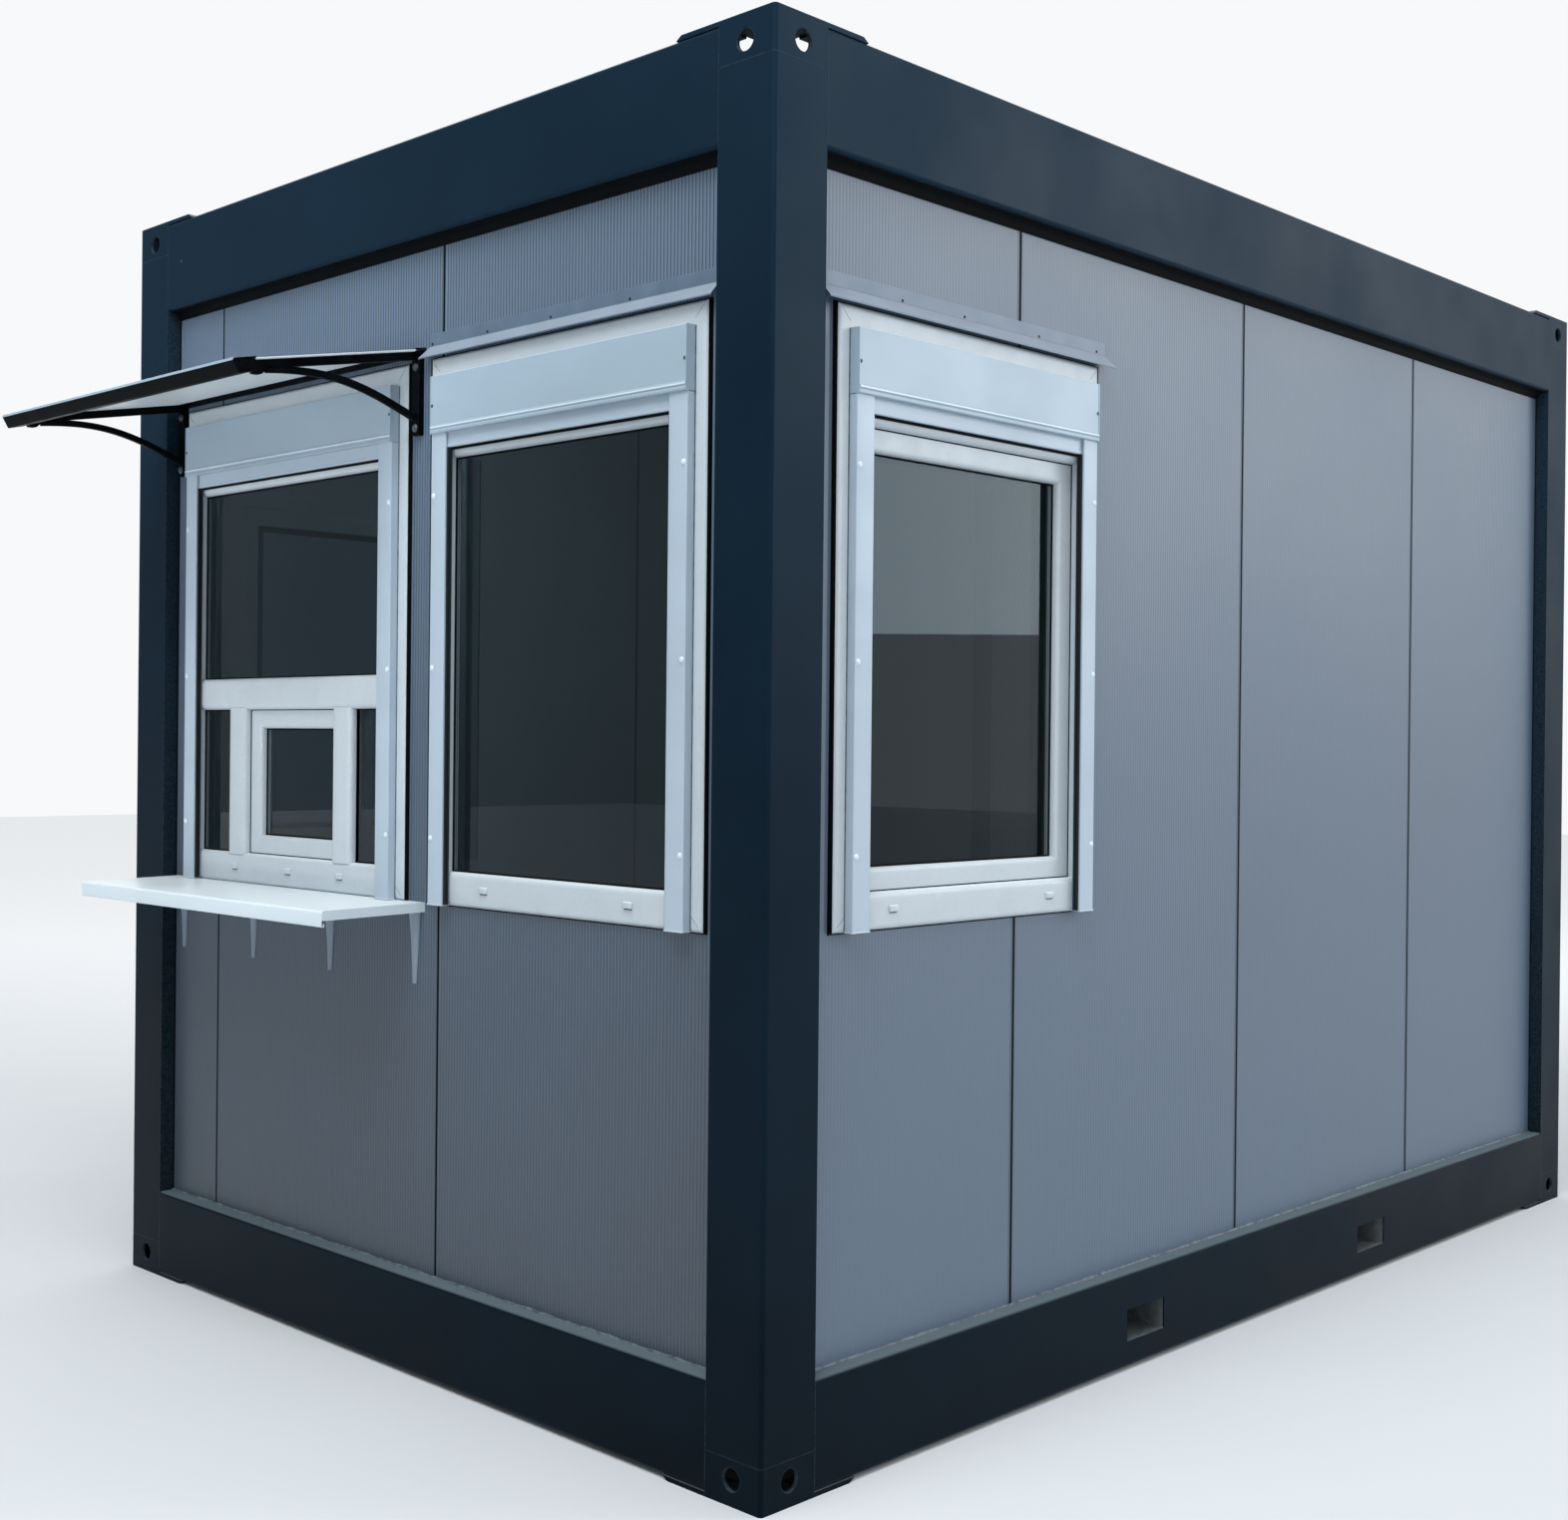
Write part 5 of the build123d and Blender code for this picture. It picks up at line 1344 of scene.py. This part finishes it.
class BOOTH_OT_frame(bpy.types.Operator):
    """Dresses the steel frame, the floor, the roof and the ceiling, and rims the frame's holes"""

    bl_idname = "booth.frame"
    bl_label = "Steel frame"

    def execute(self, context):
        enamel = enamelled_steel(colours().frame)
        rails = [f"{level}_rail_{place}" for level in ("bottom", "top") for place in WALL_OF]
        dress(enamel, "corner_posts", "corner_blocks_bottom", "corner_blocks_top", *rails)
        ring = [(HOLE - 0.05, -7.9), (HOLE - 0.05, -0.4), (HOLE - 0.4, -0.1), (HOLE - 1.6, -0.6),
                (HOLE - 2.2, -1.6), (HOLE - 2.2, -7.9)]
        rims = []
        for wall in WALL_OF.values():
            for along in (HOLE_ALONG, wall.length - HOLE_ALONG):
                for level in (HOLE_LEVEL, TOP - HOLE_LEVEL):
                    rims.append(wall.place(ring_of(ring, (along, level, 0))))
        piece("hole_rims", rims, worn_edge(), 40)
        zinc = galvanised_steel(colours().zinc)
        dress(zinc, "fork_tunnels", "floor_joists", "floor_tray", "roof_joists", "roof_sheet")
        dress(sealed_board(colours().floor_board), "floor_deck")
        dress(white_board(colours().ceiling), "ceiling")
        return {"FINISHED"}


class BOOTH_OT_roof(bpy.types.Operator):
    """Adds screws with washers along the roof sheet's ribs"""

    bl_idname = "booth.roof"
    bl_label = "Roof"

    def execute(self, context):
        low, high = (np.array(corner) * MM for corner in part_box("roof_sheet"))
        ribs, rows, margin = 12, 6, 230
        pitch = (high[0] - low[0]) / ribs
        r = millimetres("screw") / 2 + 1
        head = [(r + 5, -0.3), (r + 5, 1.2), (r + 0.5, 2.4), (r + 0.5, 5.5), (r - 1, 7), (0.5, 7.4)]
        screws = []
        for rib in range(ribs):
            for along in np.linspace(-1, 1, rows) * (high[1] - margin):
                screws.append(turned(head, (low[0] + (rib + 0.5) * pitch, along, high[2]), 10))
        piece("roof_screws", screws, dull_fastener(), 40)
        return {"FINISHED"}


class BOOTH_OT_door(bpy.types.Operator):
    """Finishes the door with its frame, gasket, border, lock, handle and hinges"""

    bl_idname = "booth.door"
    bl_label = "Door"

    def execute(self, context):
        coat = coil_coated_steel(colours().panels)
        bright = brushed_steel(colours().screws)
        dress(coat, "door_leaf")
        dress(enamelled_steel(colours().frame), "door_frame")
        dress(bright, "door_handle", "door_hinges")
        low, high = BACK.extent("door_leaf")
        face = high[2]
        gap = rounded([(-3, DOOR[1][2] - 0.3, 0.3), (-3, DOOR[1][2] + 1.8, 1), (0.4, DOOR[1][2] + 1.8, 0.5),
                       (0.4, DOOR[1][2] - 0.3, 0.2)], 2)
        piece("door_gasket", [BACK.place(surround(gap, low, high))], rubber_seal(), 40)
        rim = rounded([(0.3, face - 0.4, 0.2), (0.3, face + 1.0, 0.8), (16, face + 1.0, 1),
                       (18, face - 0.4, 0.3)], 2)
        field = rounded([(90, face - 0.4, 0.3), (93, face + 1.6, 1.2), (99, face + 1.6, 1.2),
                         (102, face - 0.4, 0.3)], 3)
        piece("door_beads", [BACK.place(surround(rim, low, high)),
                             BACK.place(surround(field, low, high))], coat, 30)
        grip_low, grip_high = BACK.extent("door_handle")
        plate = (grip_high[0] - 21, grip_low[1] + 62)
        lock = [(8.5, 5.9), (8.5, 9.5), (7.8, 10.3), (5.5, 10.5), (5.2, 9.0)]
        shapes = [BACK.place(turned(lock, (*plate, face), 20))]
        for level in (grip_low[1] + 12, grip_high[1] - 12):
            shapes.append(screw_head(BACK, plate[0], level, face + 6, millimetres("screw"), 2))
        piece("door_lock", shapes, bright, 40)
        return {"FINISHED"}


# Stage


# The camera, as solved from the booth's corners: the frame's size, focal length and optical centre in
# pixels, its turn, tilt and lean in degrees, and its place
FRAME_SIZE = (1572, 1524)
FOCAL_LENGTH = 1929.25
OPTICAL_CENTRE = (718.68, 746.45)
CAMERA_ANGLES = (44.98, -0.13, -0.56)
CAMERA_PLACE = (3.83943, -4.69824, 1.52435)

# Directions over the ground at 45 degrees: away from the camera, and to its left
AWAY = (-0.7071, 0.7071, 0.0)
LEFTWARDS = (-0.7071, -0.7071, 0.0)

# Soft lights: name, place, target, size, power, colour, spread in degrees, and whether panes mirror them
LIGHTS = (
    ("side_softbox", (9, 8.5, 5.9), (1.2, 0, 1.5), 7.2, 465, (0.88, 0.95, 1), 180, True),
    ("top_softbox", (2.3, -5.6, 8.8), (1.2, -2.2, 1), 5, 640, (0.94, 0.98, 1), 180, True),
    ("room_glow", (0.9, -1.3, 2.55), (-1.2, -1.5, 1.3), 0.4, 10, (0.95, 1, 0.97), 180, False),
    ("hatch_fill", (-0.65, -7.5, 0.9), (-0.65, -1.95, 2.1), 1.6, 2.6, (0.98, 0.99, 1), 12, False),
)


def calibrated_camera():
    """The solved camera: a nearly level view at 45 degrees from eye height."""
    yaw, pitch, roll = (math.radians(angle) for angle in CAMERA_ANGLES)
    forward = np.array((-math.sin(yaw) * math.cos(pitch), math.cos(yaw) * math.cos(pitch), math.sin(pitch)))
    right = np.array((math.cos(yaw), math.sin(yaw), 0))
    down = np.cross(forward, right)
    across = math.cos(roll) * right + math.sin(roll) * down
    below = -math.sin(roll) * right + math.cos(roll) * down
    data = bpy.data.cameras.new("camera")
    data.sensor_width = 36
    width, height = FRAME_SIZE
    data.lens = FOCAL_LENGTH / width * data.sensor_width
    data.shift_x = (width / 2 - OPTICAL_CENTRE[0]) / width
    data.shift_y = (OPTICAL_CENTRE[1] - height / 2) / width
    data.clip_end = 100
    camera = bpy.data.objects.new("camera", data)
    matrix = np.eye(4)
    matrix[:3, 0] = across
    matrix[:3, 1] = -below
    matrix[:3, 2] = -forward
    matrix[:3, 3] = CAMERA_PLACE
    camera.matrix_world = matrix.T.tolist()
    bpy.context.scene.collection.objects.link(camera)
    bpy.context.scene.camera = camera


def soft_light(name, place, target, size, power, colour, spread, mirrored):
    """Square area light that looks at a target. One that isn't mirrored shows in no pane."""
    data = bpy.data.lights.new(name, "AREA")
    data.size = size
    data.spread = math.radians(spread)
    data.energy = power
    data.color = colour
    light = bpy.data.objects.new(name, data)
    away = np.array(place, float) - np.array(target, float)
    away /= np.linalg.norm(away)
    side = np.cross((0, 0, 1), away)
    side /= np.linalg.norm(side)
    matrix = np.eye(4)
    matrix[:3, 0] = side
    matrix[:3, 1] = np.cross(away, side)
    matrix[:3, 2] = away
    matrix[:3, 3] = place
    light.matrix_world = matrix.T.tolist()
    light.visible_glossy = light.visible_transmission = mirrored
    bpy.context.scene.collection.objects.link(light)


class BOOTH_OT_stage(bpy.types.Operator):
    """Sets the pale floor, the soft lights and the camera"""

    bl_idname = "booth.stage"
    bl_label = "Stage"

    def execute(self, context):
        # Painted studio floor: matt, faintly cloudy, and paler with distance up to 9 m behind the booth
        made, tree, shader, place = paint("pale_floor", IOR=1.5, Specular_IOR_Level=0.0)
        clouds = patches(tree, place, 900)
        depth = add(tree, "ShaderNodeVectorMath", {0: place, 1: AWAY}, operation="DOT_PRODUCT")
        far = add(tree, "ShaderNodeMapRange", {"Value": depth.outputs["Value"], "From Max": 9.0},
                  interpolation_type="SMOOTHSTEP")
        near = coloured(tree, clouds, linear("#d0d3d5"), linear("#ced1d4"))
        tree.links.new(coloured(tree, far.outputs["Result"], near, linear("#f6f7f8")),
                       shader.inputs["Base Color"])
        roughened(tree, shader, clouds, 0.9, 0.95)
        span = np.linspace(-30, 30, 9)
        across, along = np.meshgrid(span, span)
        vertices, faces = grid(np.stack((across, along, np.zeros_like(across)), -1))
        mesh = bpy.data.meshes.new("floor")
        mesh.from_pydata(vertices.tolist(), [], faces)
        mesh.materials.append(made)
        floor = bpy.data.objects.new("floor", mesh)
        bpy.context.scene.collection.objects.link(floor)
        world = bpy.data.worlds.new("sky")
        world.use_nodes = True
        # The sky is white but for a darker part at the camera's left, which the front wall mirrors
        sky = world.node_tree
        direction = add(sky, "ShaderNodeTexCoord").outputs["Generated"]
        facing = add(sky, "ShaderNodeVectorMath", {0: direction, 1: LEFTWARDS}, operation="DOT_PRODUCT")
        dusk = add(sky, "ShaderNodeMapRange", {"Value": facing.outputs["Value"], "From Min": 0.45,
                                               "From Max": 0.85}, interpolation_type="SMOOTHSTEP")
        tone = coloured(sky, dusk.outputs["Result"], linear("#fbfcfe"), linear("#8f979c"))
        sky.links.new(tone, sky.nodes["Background"].inputs["Color"])
        sky.nodes["Background"].inputs["Strength"].default_value = 0.97
        bpy.context.scene.world = world
        for light in LIGHTS:
            soft_light(*light)
        context.scene.view_settings.view_transform = "Standard"
        calibrated_camera()
        return {"FINISHED"}


OPERATORS = (
    BOOTH_OT_frame, BOOTH_OT_roof, BOOTH_OT_panels, BOOTH_OT_windows, BOOTH_OT_shutters,
    BOOTH_OT_flashings, BOOTH_OT_shelf, BOOTH_OT_canopy, BOOTH_OT_door, BOOTH_OT_stage,
)


class BOOTH_PT_sidebar(bpy.types.Panel):
    """Booth settings and pieces"""

    bl_idname = "BOOTH_PT_sidebar"
    bl_label = "Booth"
    bl_space_type = "VIEW_3D"
    bl_region_type = "UI"
    bl_category = "Booth"

    def draw(self, context):
        layout = self.layout
        for group in (context.scene.booth_colours, context.scene.booth_sizes):
            column = layout.column(align=True)
            for name in group.bl_rna.properties.keys():
                if name not in ("rna_type", "name"):
                    column.prop(group, name)
        for operator in OPERATORS:
            layout.operator(operator.bl_idname)


CLASSES = (BoothColours, BoothSizes, *OPERATORS, BOOTH_PT_sidebar)


def register():
    """Registers the classes and hangs the settings on the scene."""
    for kind in CLASSES:
        bpy.utils.register_class(kind)
    bpy.types.Scene.booth_colours = PointerProperty(type=BoothColours)
    bpy.types.Scene.booth_sizes = PointerProperty(type=BoothSizes)


def unregister():
    """Takes the settings and the classes away again."""
    del bpy.types.Scene.booth_sizes
    del bpy.types.Scene.booth_colours
    for kind in reversed(CLASSES):
        bpy.utils.unregister_class(kind)


def main():
    """Registers the add-on and makes every piece in order."""
    register()
    bpy.ops.booth.frame()
    bpy.ops.booth.roof()
    bpy.ops.booth.panels()
    bpy.ops.booth.windows()
    bpy.ops.booth.shutters()
    bpy.ops.booth.flashings()
    bpy.ops.booth.shelf()
    bpy.ops.booth.canopy()
    bpy.ops.booth.door()
    bpy.ops.booth.stage()


if __name__ == "__main__":
    main()
